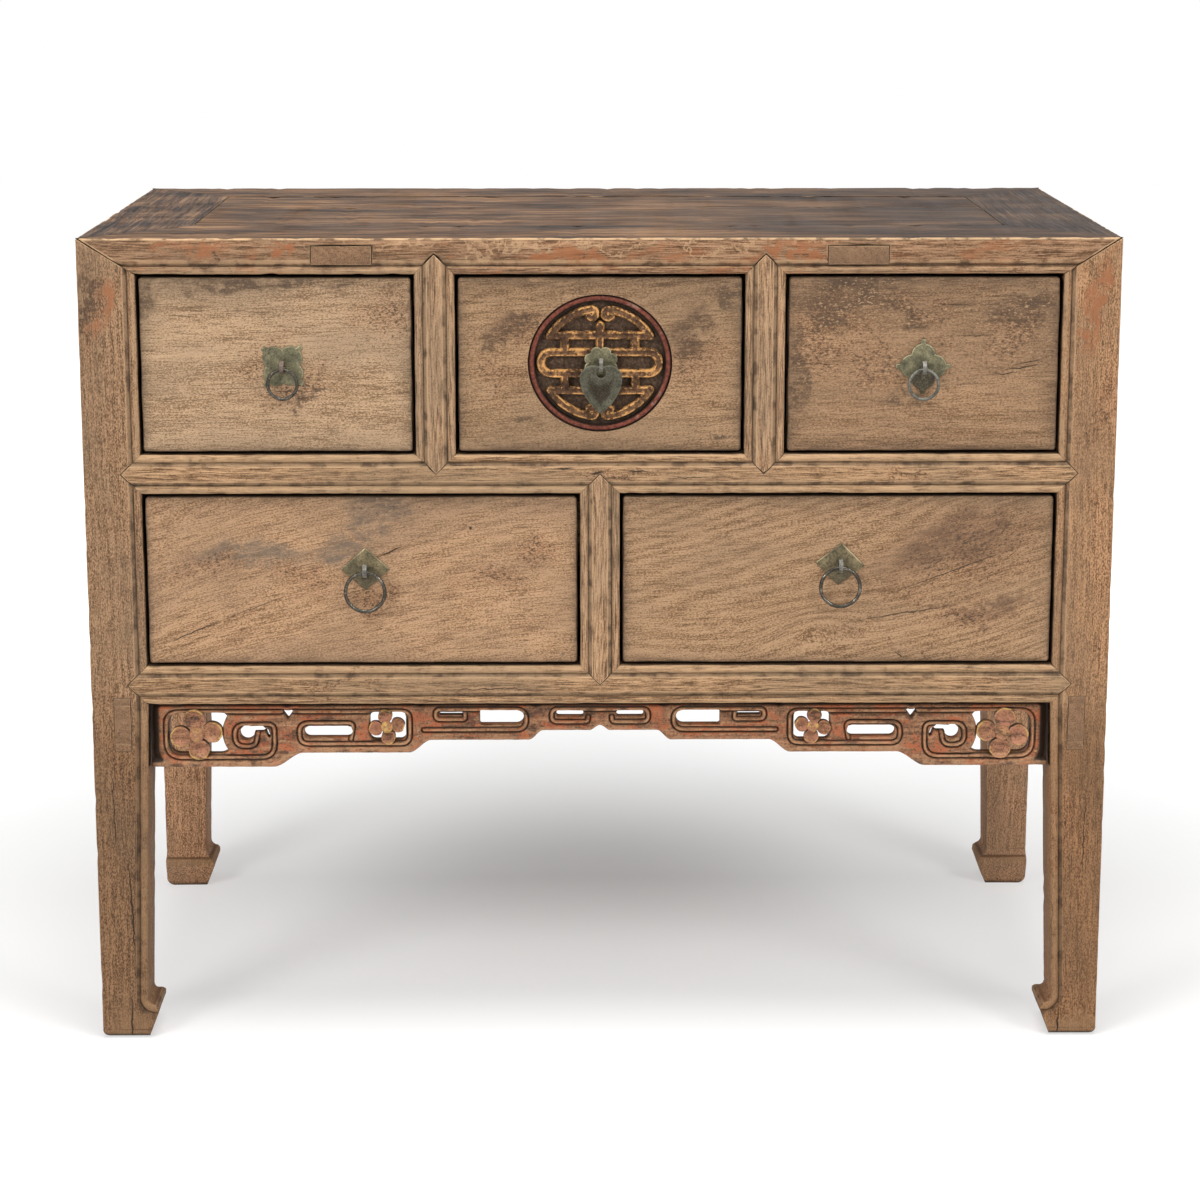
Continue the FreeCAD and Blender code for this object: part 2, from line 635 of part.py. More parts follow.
def carved_apron():
    """Pierced apron: slots and scrolls in four stepped bays each side, a flower in two of them."""
    span = OPENING_END
    ends = [share * span for share in APRON_BAY_SHARES]
    y0 = FRONT + APRON_SETBACK - CUT_MARGIN
    y1 = FRONT + APRON_SETBACK + APRON_THICK + CUT_MARGIN
    head = RAIL_BOTTOM - APRON_HEAD
    half = solid_of(apron_outline(ends, APRON_DROPS), (0, APRON_THICK, 0))

    def slot(x0, x1, top, tall):
        return rounded_block(x0, x1, y0, y1, top - tall, top, tall / 2)

    def window(x0, x1, top, tall, cant):
        return canted_block(x0, x1, y0, y1, top - tall, top, cant)

    hook = ends[1] - APRON_STILE - HOOK_SLOT_LONG
    large = (span - APRON_STILE - LARGE_WINDOW, span - APRON_STILE)
    small = (ends[1] + APRON_STILE, ends[1] + APRON_STILE + SMALL_WINDOW)
    small_tall = APRON_DROPS[2] - APRON_HEAD - APRON_RAIL
    large_tall = APRON_DROPS[3] - APRON_HEAD - APRON_RAIL
    scroll = (ends[2] + APRON_WEB, large[0] - APRON_WEB)
    scroll_top = RAIL_BOTTOM - SCROLL_DROP
    long_top = RAIL_BOTTOM - LONG_SLOT_DROP
    scroll_hole = slot(*scroll, scroll_top, SCROLL_TALL)
    hook_tip = rod(SCROLL_HOOK, (scroll[0] + APRON_WEB / 2, y0, scroll_top - SCROLL_TALL),
                   (0, y1 - y0, 0))
    scroll_back = rod(SCROLL_BACK, (large[0] - SCROLL_BACK, y0, head - large_tall / 2), (0, y1 - y0, 0))
    vee = prism([(ends[2] - VEE_HALF, y0, head), (ends[2] + VEE_HALF, y0, head),
                 (ends[2], y0, head - VEE_DROP)], (0, y1 - y0, 0))
    cuts = [
        window(APRON_STILE, ends[0] - APRON_WEB, head, CENTRE_SLOT_TALL, SLOT_CANT),
        slot(ends[0] + APRON_STILE, hook - APRON_WEB, head, LOOP_SLOT_TALL),
        window(hook, hook + HOOK_SLOT_LONG, head, HOOK_SLOT_TALL, SLOT_CANT),
        window(*small, head, small_tall, WINDOW_CANT),
        slot(small[1] + APRON_WEB, ends[2] - APRON_STILE, long_top, LONG_SLOT_TALL),
        window(large[0] - SCROLL_SWELL, large[1], head, large_tall, WINDOW_CANT).cut(scroll_back),
        scroll_hole.cut(hook_tip),
        vee,
    ]
    flowers = [flower(sum(small) / 2, head - small_tall / 2, SMALL_FLOWER, SMALL_BOSS),
               flower(sum(large) / 2, head - large_tall / 2, LARGE_FLOWER, LARGE_BOSS)]
    half = joined(half.cut(cuts), *flowers)
    return joined(half, mirror_x(half))


def drawer_boards(opening):
    """Front, two sides, back and bottom of the drawer that fills an opening."""
    x0, x1, bottom, top = opening
    x0 += DRAWER_GAP
    x1 -= DRAWER_GAP
    low = bottom + RUNNING_GAP
    high = top - SIDE_LOWER
    inner_back = DRAWER_END - DRAWER_BACK_THICK
    floor = low + BOTTOM_LIFT
    front = box(x0, x1, DRAWER_FACE, FRONT_INSIDE, bottom + DRAWER_GAP, top - DRAWER_GAP)
    face = [edge for edge in front.Edges
            if all(abs(vertex.Y - DRAWER_FACE) < FRONT_EASE for vertex in edge.Vertexes)]
    front = front.makeChamfer(FRONT_EASE, face)
    floor_board = box(x0 + SIDE_THICK - BOTTOM_TONGUE, x1 - SIDE_THICK + BOTTOM_TONGUE,
                      FRONT_INSIDE - BOTTOM_TONGUE, DRAWER_END,
                      floor, floor + BOTTOM_THICK)
    sides = []
    for side_x in (x0, x1 - SIDE_THICK):
        side = box(side_x, side_x + SIDE_THICK, FRONT_INSIDE, inner_back, low, high)
        pitch = (high - floor - BOTTOM_THICK) / TAIL_COUNT
        tails = []
        for count in range(TAIL_COUNT):
            middle = floor + BOTTOM_THICK + pitch * (count + 0.5)
            tails += [tail(side_x, FRONT_INSIDE, -TAIL_LAP, middle),
                      tail(side_x, inner_back, DRAWER_BACK_THICK, middle)]
        sides.append(joined(side, *tails).cut(floor_board))
    back = box(x0, x1, inner_back, DRAWER_END, floor + BOTTOM_THICK, high).cut(sides)
    front = front.cut(sides + [floor_board])
    return {"front": front, "sides": sides, "back": back, "bottom": floor_board}


def tail(side_x, y, reach, middle):
    """One dovetail at the end of a drawer side, wider at its tip."""
    neck = TAIL_NECK / 2
    tip = neck + TAIL_FLARE
    return prism([(side_x, y, middle - neck), (side_x, y + reach, middle - tip),
                  (side_x, y + reach, middle + tip), (side_x, y, middle + neck)], (SIDE_THICK, 0, 0))


def oval(wide, tall, x, z, y, deep):
    """Upright oval disc, pushed back along Y."""
    points = []
    for count in range(OVAL_STEPS):
        angle = 2 * math.pi * count / OVAL_STEPS
        points.append((x + wide / 2 * math.cos(angle), y, z + tall / 2 * math.sin(angle)))
    return prism(points, (0, deep, 0))


def lattice(x, z, y, deep):
    """Longevity lattice of the roundel: a long loop, two arms and posts, and four curled arcs."""

    def bar(x0, x1, z0, z1):
        return box(x + x0, x + x1, y, y + deep, z + z0, z + z1)

    def ring(wide, tall):
        return rounded_block(x - wide, x + wide, y, y + deep, z - tall, z + tall, tall)

    wide = LATTICE_LOOP_WIDE / 2
    tall = LATTICE_LOOP_TALL / 2
    half = LATTICE_BAR / 2
    pieces = [ring(wide, tall).cut(ring(wide - LATTICE_BAR, tall - LATTICE_BAR))]
    for side in (-1, 1):
        lift = side * LATTICE_ARM_LIFT
        pieces.append(bar(-LATTICE_ARM_WIDE / 2, LATTICE_ARM_WIDE / 2, lift - half, lift + half))
        near, far = sorted((side * (tall - half), lift))
        for post in (-LATTICE_POST, 0, LATTICE_POST):
            pieces.append(bar(post - half, post + half, near, far))
        for hand in (-1, 1):
            pieces.append(curled_arc(x, z, y, deep, hand, side))
    return pieces


def curled_arc(x, z, y, deep, hand, side):
    """Band that follows the roundel's ring from an arm's end, turned in at the middle."""
    outer_wide = ROUNDEL_WIDE / 2 - ROUNDEL_RING - LATTICE_ARC_GAP
    outer_tall = ROUNDEL_TALL / 2 - ROUNDEL_RING - LATTICE_ARC_GAP

    def at(shrink, degrees):
        angle = math.radians(degrees)
        return Vector(x + hand * (outer_wide - shrink) * math.cos(angle), y,
                      z + side * (outer_tall - shrink) * math.sin(angle))

    curl = LATTICE_ARC_HIGH - LATTICE_CURL
    outer = []
    inner = []
    for count in range(LATTICE_ARC_STEPS + 1):
        share = count / LATTICE_ARC_STEPS
        outer.append(at(0, LATTICE_ARC_LOW + share * (LATTICE_ARC_HIGH - LATTICE_ARC_LOW)))
        inner.append(at(LATTICE_BAR, LATTICE_ARC_LOW + share * (curl - LATTICE_ARC_LOW)))
    hook = [at(LATTICE_BAR + LATTICE_HOOK, LATTICE_ARC_HIGH), at(LATTICE_BAR + LATTICE_HOOK, curl)]
    return prism(outer + hook + inner[::-1], (0, deep, 0))


def roundel_place():
    """Middle of the roundel on the face of the middle drawer."""
    x0, x1, bottom, top = OPENINGS["upper_middle"]
    return (x0 + x1) / 2, (bottom + top) / 2 + ROUNDEL_LIFT


def roundel():
    """Disc with a raised ring and lattice over a sunk floor, flush with the drawer's face."""
    x, z = roundel_place()
    depth = ROUNDEL_THICK - ROUNDEL_FLOOR
    disc = oval(ROUNDEL_WIDE, ROUNDEL_TALL, x, z, DRAWER_FACE, ROUNDEL_THICK)
    well = oval(ROUNDEL_WIDE - 2 * ROUNDEL_RING, ROUNDEL_TALL - 2 * ROUNDEL_RING, x, z,
                DRAWER_FACE - CUT_MARGIN, depth + CUT_MARGIN)
    return joined(disc.cut(well), *lattice(x, z, DRAWER_FACE, depth))


def roundel_seat():
    """Recess in the middle drawer's front that takes the roundel with a hair of room."""
    x, z = roundel_place()
    return oval(ROUNDEL_WIDE + 2 * ROUNDEL_FIT, ROUNDEL_TALL + 2 * ROUNDEL_FIT, x, z,
                DRAWER_FACE - CUT_MARGIN, ROUNDEL_THICK + CUT_MARGIN)


def pull_place(name):
    """Point on the drawer's face where a pull's staple comes out."""
    x0, x1, bottom, top = OPENINGS[name]
    shift_x, shift_z = PULLS[name][3:]
    return Vector((x0 + x1) / 2 + shift_x, DRAWER_FACE, (bottom + top) / 2 + shift_z)


def staple_hole(place):
    """Square hole through a drawer's front or a plate for both legs of a staple."""
    half_tall = STAPLE_STRIP + STAPLE_SPLIT / 2 + STAPLE_CLEAR
    half_wide = STAPLE_WIDE / 2 + STAPLE_CLEAR
    return box(place.x - half_wide, place.x + half_wide,
               place.y - PLATE_THICK - CUT_MARGIN, place.y + FRONT_THICK + CUT_MARGIN,
               place.z - half_tall, place.z + half_tall)


def lobed_outline(place, count, reach, lobe):
    """Corners of a plate with round lobes about its middle, each lobe meeting the next in a cusp."""
    half_pitch = math.pi / count
    sweep = half_pitch + math.asin(reach * math.sin(half_pitch) / lobe)
    points = []
    for number in range(count):
        axis = (2 * number + 1) * half_pitch
        for step in range(LOBE_STEPS):
            turn = axis + sweep * (2 * step / LOBE_STEPS - 1)
            points.append((place.x + reach * math.cos(axis) + lobe * math.cos(turn),
                           place.y - PLATE_THICK,
                           place.z + reach * math.sin(axis) + lobe * math.sin(turn)))
    return points


def plate_tabs(place):
    """Small square tabs at the tips of the four-lobed plate."""
    half = PLATE_TAB / 2
    tip = PLATE_LOBE_PLACE + PLATE_LOBE + PLATE_TAB_LONG
    tabs = []
    for number in range(PLATE_LOBE_COUNT):
        tab = box(place.x, place.x + tip, place.y - PLATE_THICK, place.y, place.z - half, place.z + half)
        tab.rotate(place, OUTWARD, 360 * (number + 1 / 2) / PLATE_LOBE_COUNT)
        tabs.append(tab)
    return tabs


def plate_blank(kind, place):
    """Brass plate of one of the three patterns, lying on the drawer's face."""
    y = place.y - PLATE_THICK
    back = (0, PLATE_THICK, 0)
    if kind == "quatrefoil":
        lobes = lobed_outline(place, PLATE_LOBE_COUNT, PLATE_LOBE_PLACE, PLATE_LOBE)
        return joined(prism(lobes, back), *plate_tabs(place))
    if kind == "rosette":
        return prism(lobed_outline(place, ROSETTE_COUNT, ROSETTE_PLACE, ROSETTE_LOBE), back)
    half_wide = DIAMOND_WIDE / 2
    half_tall = DIAMOND_TALL / 2
    return prism([(place.x - half_wide, y, place.z), (place.x, y, place.z - half_tall),
                  (place.x + half_wide, y, place.z), (place.x, y, place.z + half_tall)], back)


def pull_plate(name):
    """Plate of a pull, turned as it was nailed on and punched for its staple."""
    kind, turn = PULLS[name][:2]
    place = pull_place(name)
    plate = plate_blank(kind, place)
    plate.rotate(place, Vector(0, 1, 0), turn)
    return plate.cut(staple_hole(place))


def strip(points, thick, wide):
    """Flat strip bent at the points of a path in an upright plane square to X."""
    left = []
    right = []
    for index, point in enumerate(points):
        runs = [(points[end] - points[end - 1]).normalize()
                for end in (index, index + 1) if 0 < end < len(points)]
        normals = [Vector(0, -run.z, run.y) for run in runs]
        mitre = normals[0] + normals[-1]
        mitre = mitre * (thick / mitre.dot(normals[0]) / 2)
        left.append(point + mitre)
        right.append(point - mitre)
    half = Vector(wide / 2, 0, 0)
    return prism([corner - half for corner in left + right[::-1]], (wide, 0, 0))


def eye_place(place):
    """Middle of the eye of a staple, in front of its plate."""
    return place + OUTWARD * (PLATE_THICK + STAPLE_STRIP + EYE_LONG / 2)


def pull_staple(name):
    """Split staple of flat strip: an eye before the plate, legs through the front, tails bent."""
    place = pull_place(name)
    offset = (STAPLE_STRIP + STAPLE_SPLIT) / 2
    inside = FRONT_INSIDE + STAPLE_STRIP / 2 + STAPLE_CLEAR
    neck = place.y - PLATE_THICK - STAPLE_STRIP
    nose = neck - EYE_LONG
    half = EYE_TALL / 2
    upper = [(inside, STAPLE_TAIL), (inside, offset), (neck, offset), (neck - EYE_CANT, half),
             (nose + EYE_CANT, half), (nose, half - EYE_CANT)]
    lower = [(y, -z) for y, z in reversed(upper)]
    path = [Vector(place.x, y, place.z + z) for y, z in upper + lower]
    return strip(path, STAPLE_STRIP, STAPLE_WIDE)


def ring_pivot(name):
    """Middle of the ring's wire where it hangs in the eye of its staple."""
    place = eye_place(pull_place(name))
    drop = (EYE_TALL - STAPLE_STRIP - ring_wire(name)) / 2 - EYE_CLEAR
    return place - Vector(0, 0, drop)


def ring_wire(name):
    """Thickness of the wire that hangs in a staple's eye."""
    return {"small": SMALL_RING_WIRE, "large": LARGE_RING_WIRE, "leaf": LEAF_LOOP_WIRE}[PULLS[name][2]]


def forged_ring(middle, radius, wire, sides):
    """Ring hammered to flats along and across, upright in the plane of the drawer's face."""

    def at(side, flat):
        around = 2 * math.pi * side / sides
        across = math.pi * (2 * flat + 1) / RING_FLATS
        reach = radius + wire / 2 * math.cos(across)
        return middle + Vector(reach * math.sin(around), wire / 2 * math.sin(across),
                               reach * math.cos(around))

    faces = []
    for side in range(sides):
        for flat in range(RING_FLATS):
            corners = [at(side, flat), at(side + 1, flat), at(side + 1, flat + 1), at(side, flat + 1)]
            faces.append(Part.Face(Part.makePolygon(corners + corners[:1])))
    shell = Part.makeShell(faces)
    shell.sewShape()
    return outward(Part.Solid(shell))


def outward(solid):
    """Solid with its faces turned outwards."""
    if solid.Volume < 0:
        solid.reverse()
    return solid


def pull_ring(name):
    """Ring, or leaf-shaped drop with a loop, hanging from its staple."""
    kind = PULLS[name][2]
    pivot = ring_pivot(name)
    wire = ring_wire(name)
    outer = {"small": SMALL_RING, "large": LARGE_RING, "leaf": LEAF_LOOP}[kind]
    radius = (outer - wire) / 2
    middle = pivot - Vector(0, 0, radius)
    if kind != "leaf":
        return forged_ring(middle, radius, wire, RING_SIDES)
    eyelet = rod(radius, middle + OUTWARD * LEAF_THICK, OUTWARD * (-2 * LEAF_THICK))
    return joined(leaf(pivot).cut(eyelet), forged_ring(middle, radius, wire, LOOP_SIDES))


def leaf(top):
    """Flat leaf with round shoulders and a point at the bottom, notched at the top of its eyelet."""
    half = LEAF_WIDE / 2

    def at(x, drop):
        return top + Vector(x, -LEAF_THICK / 2, LEAF_NOTCH - drop)

    def edge(hand):
        shoulder = Part.Arc(at(0, LEAF_NOTCH), at(hand * LEAF_CREST, 0), at(hand * half, LEAF_SHOULDER))
        flank = Part.Arc(at(hand * half, LEAF_SHOULDER), at(hand * LEAF_WAIST, LEAF_WAIST_DROP),
                         at(0, LEAF_TALL))
        points = []
        for curve in (shoulder, flank):
            points += curve.toShape().discretize(LEAF_STEPS)[:-1]
        return points

    return prism(edge(1) + [at(0, LEAF_TALL)] + edge(-1)[:0:-1], (0, LEAF_THICK, 0))


def carcass():
    """Every fixed piece of the table, each cut to let its neighbours in."""
    blank = leg_blank()
    blanks = [blank, mirror_y(blank), mirror_x(blank), mirror_x(mirror_y(blank))]
    wedges = side_wedges()
    all_wedges = wedges + [mirror_x(wedge) for wedge in wedges]
    side = side_rail(blanks[:2], wedges)
    panel = side_panel()
    apron = carved_apron()
    uprights = {
        "divider_upper_left": (-DIVIDER_PLACE, UPPER_BOTTOM, UPPER_TOP),
        "divider_upper_right": (DIVIDER_PLACE, UPPER_BOTTOM, UPPER_TOP),
        "divider_lower": (0.0, LOWER_BOTTOM, LOWER_TOP),
    }
    posts = [pointed_divider(*upright) for upright in uprights.values()]
    tracks = runners(blanks)
    middle = pointed_rail(LOWER_TOP).cut(posts + tracks)
    bottom = pointed_rail(RAIL_BOTTOM).cut(posts + tracks + [apron])
    back_panels = [back_panel(UPPER_BOTTOM, UPPER_TOP), back_panel(LOWER_BOTTOM, LOWER_TOP)]
    back_rails = [back_rail(LOWER_TOP), back_rail(RAIL_BOTTOM)]
    battens = [batten(-BATTEN_PLACE), batten(BATTEN_PLACE)]
    boards = [board.cut(battens) for board in top_boards()]
    members = top_frame()
    hung = blanks + posts + battens + boards + back_panels + [panel, mirror_x(panel)]
    front_leg = blank.cut(leg_bead() + wedges + [middle, bottom, side, panel, apron])
    back_leg = blanks[1].cut(wedges + back_rails + back_panels + [side, panel])
    side = side.cut(panel)
    nodes = {
        "leg_front_left": [front_leg],
        "leg_front_right": [mirror_x(front_leg)],
        "leg_back_left": [back_leg],
        "leg_back_right": [mirror_x(back_leg)],
        "top_boards": boards,
        "top_battens": battens,
        "middle_rail_front": [middle.cut(rail_beads(LOWER_TOP))],
        "bottom_rail_front": [bottom.cut(rail_beads(RAIL_BOTTOM))],
        "carved_apron": [apron],
        "side_rail_left": [side],
        "side_rail_right": [mirror_x(side)],
        "side_panel_left": [panel],
        "side_panel_right": [mirror_x(panel)],
        "back_rails": [rail.cut(back_panels + tracks) for rail in back_rails],
        "back_panels": back_panels,
        "drawer_runners": tracks,
        "tenon_wedges": all_wedges,
    }
    for name, member in members.items():
        nodes["top_rail_" + name] = [member.cut(hung)]
    for post, (name, upright) in zip(posts, uprights.items()):
        nodes[name] = [post.cut(divider_beads(*upright))]
    return nodes


def drawers():
    """Every drawer with its pull."""
    nodes = {}
    for name, opening in OPENINGS.items():
        boards = drawer_boards(opening)
        front = boards["front"].cut(staple_hole(pull_place(name)))
        if name == "upper_middle":
            front = front.cut(roundel_seat())
            nodes["roundel"] = [roundel().cut(staple_hole(pull_place(name)))]
        nodes[name + "_drawer_front"] = [front]
        nodes[name + "_drawer_sides"] = boards["sides"]
        nodes[name + "_drawer_back"] = [boards["back"]]
        nodes[name + "_drawer_bottom"] = [boards["bottom"]]
        nodes[name + "_pull_plate"] = [pull_plate(name)]
        nodes[name + "_pull_staple"] = [pull_staple(name)]
        nodes[name + "_pull_ring"] = [pull_ring(name)]
    return nodes


def write_parts():
    """One file per node, each a solid or a group of separate solids."""
    os.makedirs("parts", exist_ok=True)
    for name, solids in {**carcass(), **drawers()}.items():
        shape = solids[0] if len(solids) == 1 else Part.makeCompound(solids)
        shape.translate(TO_ORIGIN)
        shape.exportStep("parts/" + name + ".step")


write_parts()
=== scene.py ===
import logging
import math
from dataclasses import dataclass, field, replace
from enum import Enum
from typing import Any, Callable, ClassVar, Iterable

import bmesh
import bpy
import numpy as np
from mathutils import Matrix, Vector, noise


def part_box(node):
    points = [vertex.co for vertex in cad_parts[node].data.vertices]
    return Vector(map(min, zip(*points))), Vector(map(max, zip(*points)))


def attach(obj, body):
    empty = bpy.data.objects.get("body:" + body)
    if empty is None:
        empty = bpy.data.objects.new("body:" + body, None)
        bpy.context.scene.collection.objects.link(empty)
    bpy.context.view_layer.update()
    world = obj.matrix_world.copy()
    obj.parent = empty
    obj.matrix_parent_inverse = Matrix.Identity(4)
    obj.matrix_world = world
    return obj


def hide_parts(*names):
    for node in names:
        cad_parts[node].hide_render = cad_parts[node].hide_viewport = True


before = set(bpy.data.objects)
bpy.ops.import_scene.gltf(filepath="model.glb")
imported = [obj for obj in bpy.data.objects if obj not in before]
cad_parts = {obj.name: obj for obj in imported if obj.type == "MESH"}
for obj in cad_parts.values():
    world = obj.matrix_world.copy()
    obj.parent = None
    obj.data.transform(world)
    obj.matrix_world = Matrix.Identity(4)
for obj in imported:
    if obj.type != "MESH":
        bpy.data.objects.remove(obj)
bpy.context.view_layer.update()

# A weathered elm coffer table: worn frame members, drawer fronts with their stains and cracks,
# a pierced and lacquered apron, a gilt lattice roundel, and ring pulls on patinated plates.
# X runs along the front, Y from the front to the back, Z is up. Sizes are in millimetres.

Colour = tuple[float, float, float]
Triple = tuple[float, float, float]
Pair = tuple[float, float]
Array = np.ndarray
Edge = bmesh.types.BMEdge
Shape = bmesh.types.BMesh
Material = bpy.types.Material
Mesh = bpy.types.Mesh
Node = bpy.types.Node
Socket = bpy.types.NodeSocket
Tree = bpy.types.NodeTree
Field = Callable[[Array, Array], Array]

MM = 0.001
MERGE = 1e-6
LOG = logging.getLogger("coffer_table")


class Grain(Enum):
    """Axis that a board's fibres run along."""

    LENGTHWISE = 0
    BACKWARDS = 1
    UPRIGHT = 2

    def stretch(self, along: float, across: float) -> Triple:
        """Scale of a pattern that is drawn out along the fibres.

        Args:
            along: Scale along the fibres.
            across: Scale across them.

        Returns:
            The scale for each axis.
        """
        scale = [across, across, across]
        scale[self.value] = along
        return tuple(scale)


class MarkKind(Enum):
    """What has happened to a spot of wood."""

    WASH = "soft dark stain"
    FRECKLE = "dense dark specks"
    CRACK = "open shake or scratch"
    PALE = "rubbed light patch"
    LACQUER = "remains of red lacquer"


class PlateKind(Enum):
    """Outline of a pull's plate."""

    QUATREFOIL = "four lobes with tabs"
    DIAMOND = "square on its corner"
    ROSETTE = "small lobed disc"


class RingKind(Enum):
    """What hangs in a pull's staple."""

    SMALL = "small ring"
    LARGE = "large ring"
    LEAF = "leaf drop"


WASH, FRECKLE, CRACK, PALE, LACQUER = MarkKind


@dataclass(frozen=True)
class Mark:
    """One mark on a front face: its middle, half sizes and lean up to the right in degrees."""

    kind: MarkKind
    x: float
    z: float
    wide: float
    tall: float
    lean: float = 0.0


def marks_of(rows: dict[MarkKind, tuple[tuple[float, ...], ...]]) -> tuple[Mark, ...]:
    """Marks from rows of their numbers, by kind."""
    return tuple(Mark(kind, *row) for kind, places in rows.items() for row in places)


class NodeBench:
    """Adds nodes to one tree and joins their sockets."""

    def __init__(self, tree: Tree) -> None:
        """Keeps the tree that the nodes go into."""
        self.tree = tree

    def add(self, kind: str, inputs: dict[Any, Any] | None = None, **settings: Any) -> Node:
        """Adds one node.

        Args:
            kind: The node's type.
            inputs: Sockets to join or values to set, by the input's name or number.
            settings: The node's own properties.

        Returns:
            The new node.
        """
        node = self.tree.nodes.new(kind)
        for name, value in settings.items():
            setattr(node, name, value)
        self.join(node, inputs or {})
        return node

    def join(self, node: Node, inputs: dict[Any, Any]) -> None:
        """Joins sockets to a node, or sets the values that are the same all over.

        Args:
            node: The node.
            inputs: Sockets or values, by the input's name or number.
        """
        for key, value in inputs.items():
            if isinstance(value, Socket):
                self.tree.links.new(value, node.inputs[key])
            else:
                node.inputs[key].default_value = value

    def math(self, operation: str, *values: Any) -> Socket:
        """Result of a sum on numbers or sockets."""
        return self.add("ShaderNodeMath", dict(enumerate(values)), operation=operation).outputs[0]

    def times(self, first: Any, second: Any) -> Socket:
        """Product of two numbers or sockets."""
        return self.math("MULTIPLY", first, second)

    def plus(self, first: Any, second: Any) -> Socket:
        """Sum of two numbers or sockets."""
        return self.math("ADD", first, second)

    def minus(self, first: Any, second: Any) -> Socket:
        """Difference of two numbers or sockets."""
        return self.math("SUBTRACT", first, second)

    def most(self, first: Any, second: Any) -> Socket:
        """Greater of two numbers or sockets."""
        return self.math("MAXIMUM", first, second)

    def blend(self, first: Any, share: float, second: Any, other: float) -> Socket:
        """Sum of two values, each times its own weight."""
        return self.plus(self.times(first, share), self.times(second, other))

    def swing(self, value: Any, layer: Socket, weight: Any, mean: float = 0.5) -> Socket:
        """A value that a layer moves up and down about its mean."""
        return self.plus(value, self.times(self.minus(layer, mean), weight))

    def shaken(self, place: Socket, scale: Triple | float, reach: float, *fineness: float) -> Socket:
        """A place that noise moves about, as far as a reach in millimetres."""
        drift = self.minus(self.noise(place, scale, *fineness), 0.5)
        return self.vector("ADD", place, self.times(drift, reach * MM))

    def part(self, place: Socket, axis: int) -> Socket:
        """One part of a vector."""
        return self.add("ShaderNodeSeparateXYZ", {0: place}).outputs[axis]

    def facing(self, axis: int) -> Socket:
        """How far a surface faces along an axis."""
        return self.part(self.add("ShaderNodeTexCoord").outputs["Normal"], axis)

    def bump(self, height: Socket, strength: float, depth: float) -> Socket:
        """Normal of a surface that a height roughens to a depth."""
        inputs = {"Strength": strength, "Distance": depth * MM, "Height": height}
        return self.add("ShaderNodeBump", inputs).outputs[0]

    def vector(self, operation: str, *values: Any) -> Socket:
        """Result of a vector operation; a length comes from the node's second output."""
        node = self.add("ShaderNodeVectorMath", dict(enumerate(values)), operation=operation)
        return node.outputs[1 if operation == "LENGTH" else 0]

    def span(self, value: Socket, low: float, high: float, start: float = 0.0, end: float = 1.0) -> Socket:
        """Smooth step of a value from start to end between two limits."""
        inputs = {"Value": value, "From Min": low, "From Max": high, "To Min": start, "To Max": end}
        return self.add("ShaderNodeMapRange", inputs, interpolation_type="SMOOTHSTEP").outputs[0]

    def noise(self, place: Socket, scale: Triple | float, detail: float = 2.0, roughness: float = 0.5) -> Socket:
        """Noise of a given fineness, the same all ways or for each axis, in cycles per metre.

        Args:
            place: Where the noise is taken.
            scale: Its fineness.
            detail: Number of finer layers.
            roughness: Weight of the finer layers.

        Returns:
            The noise, with a mean near 0.5.
        """
        stretched = self.vector("MULTIPLY", place, (scale,) * 3 if isinstance(scale, float) else scale)
        inputs = {"Vector": stretched, "Scale": 1.0, "Detail": detail, "Roughness": roughness}
        return self.add("ShaderNodeTexNoise", inputs).outputs[0]

    def mix(self, share: Any, first: Any, second: Any, blend: str = "MIX") -> Socket:
        """Blend of two colours."""
        inputs = {0: share, 6: self.paint(first), 7: self.paint(second)}
        return self.add("ShaderNodeMix", inputs, data_type="RGBA", blend_type=blend, clamp_factor=True).outputs[2]

    @staticmethod
    def paint(colour: Any) -> Any:
        """A colour with its alpha, or the socket that gives it."""
        return colour if isinstance(colour, Socket) else (*colour, 1.0)

    def ramp(self, value: Socket, stops: Iterable[tuple[float, Colour]]) -> Socket:
        """Colour that runs through stops as a value rises.

        Args:
            value: The value.
            stops: Place and colour of each stop.

        Returns:
            The colour.
        """
        node = self.add("ShaderNodeValToRGB", {0: value})
        elements = node.color_ramp.elements
        elements.remove(elements[1])
        for number, (place, colour) in enumerate(stops):
            element = elements.new(place) if number else elements[0]
            element.position = place
            element.color = (*colour, 1.0)
        return node.outputs[0]

    def attribute(self, name: str) -> Socket:
        """Number that a mesh carries under a name."""
        return self.add("ShaderNodeAttribute", None, attribute_name=name).outputs[2]

    def crevice(self, reach: float, low: float, high: float) -> Socket:
        """How far a point lies in a crevice, from 0 in the open to 1 deep inside, by ambient occlusion; the finishes
        darken by it, partly painted shade.
        """
        node = self.add("ShaderNodeAmbientOcclusion", {"Distance": reach * MM}, samples=4)
        return self.span(node.outputs[1], low, high, 1.0, 0.0)

    def ellipse(self, place: Socket, mark: Mark, hard: float) -> Socket:
        """Mask of one mark, 1 inside it and 0 outside, with an edge as hard as asked.

        Args:
            place: Where the mask is taken.
            mark: The mark.
            hard: Share of a mark that is full.

        Returns:
            The mask.
        """
        inputs = {
            "Vector": place,
            "Location": (mark.x * MM, 0.0, mark.z * MM),
            "Rotation": (0.0, math.radians(-mark.lean), 0.0),
            "Scale": (mark.wide * MM, 1.0, mark.tall * MM),
        }
        turned = self.add("ShaderNodeMapping", inputs, vector_type="TEXTURE").outputs[0]
        flat = self.vector("MULTIPLY", turned, (1.0, 0.0, 1.0))
        return self.span(self.vector("LENGTH", flat), hard, 1.0, 1.0, 0.0)


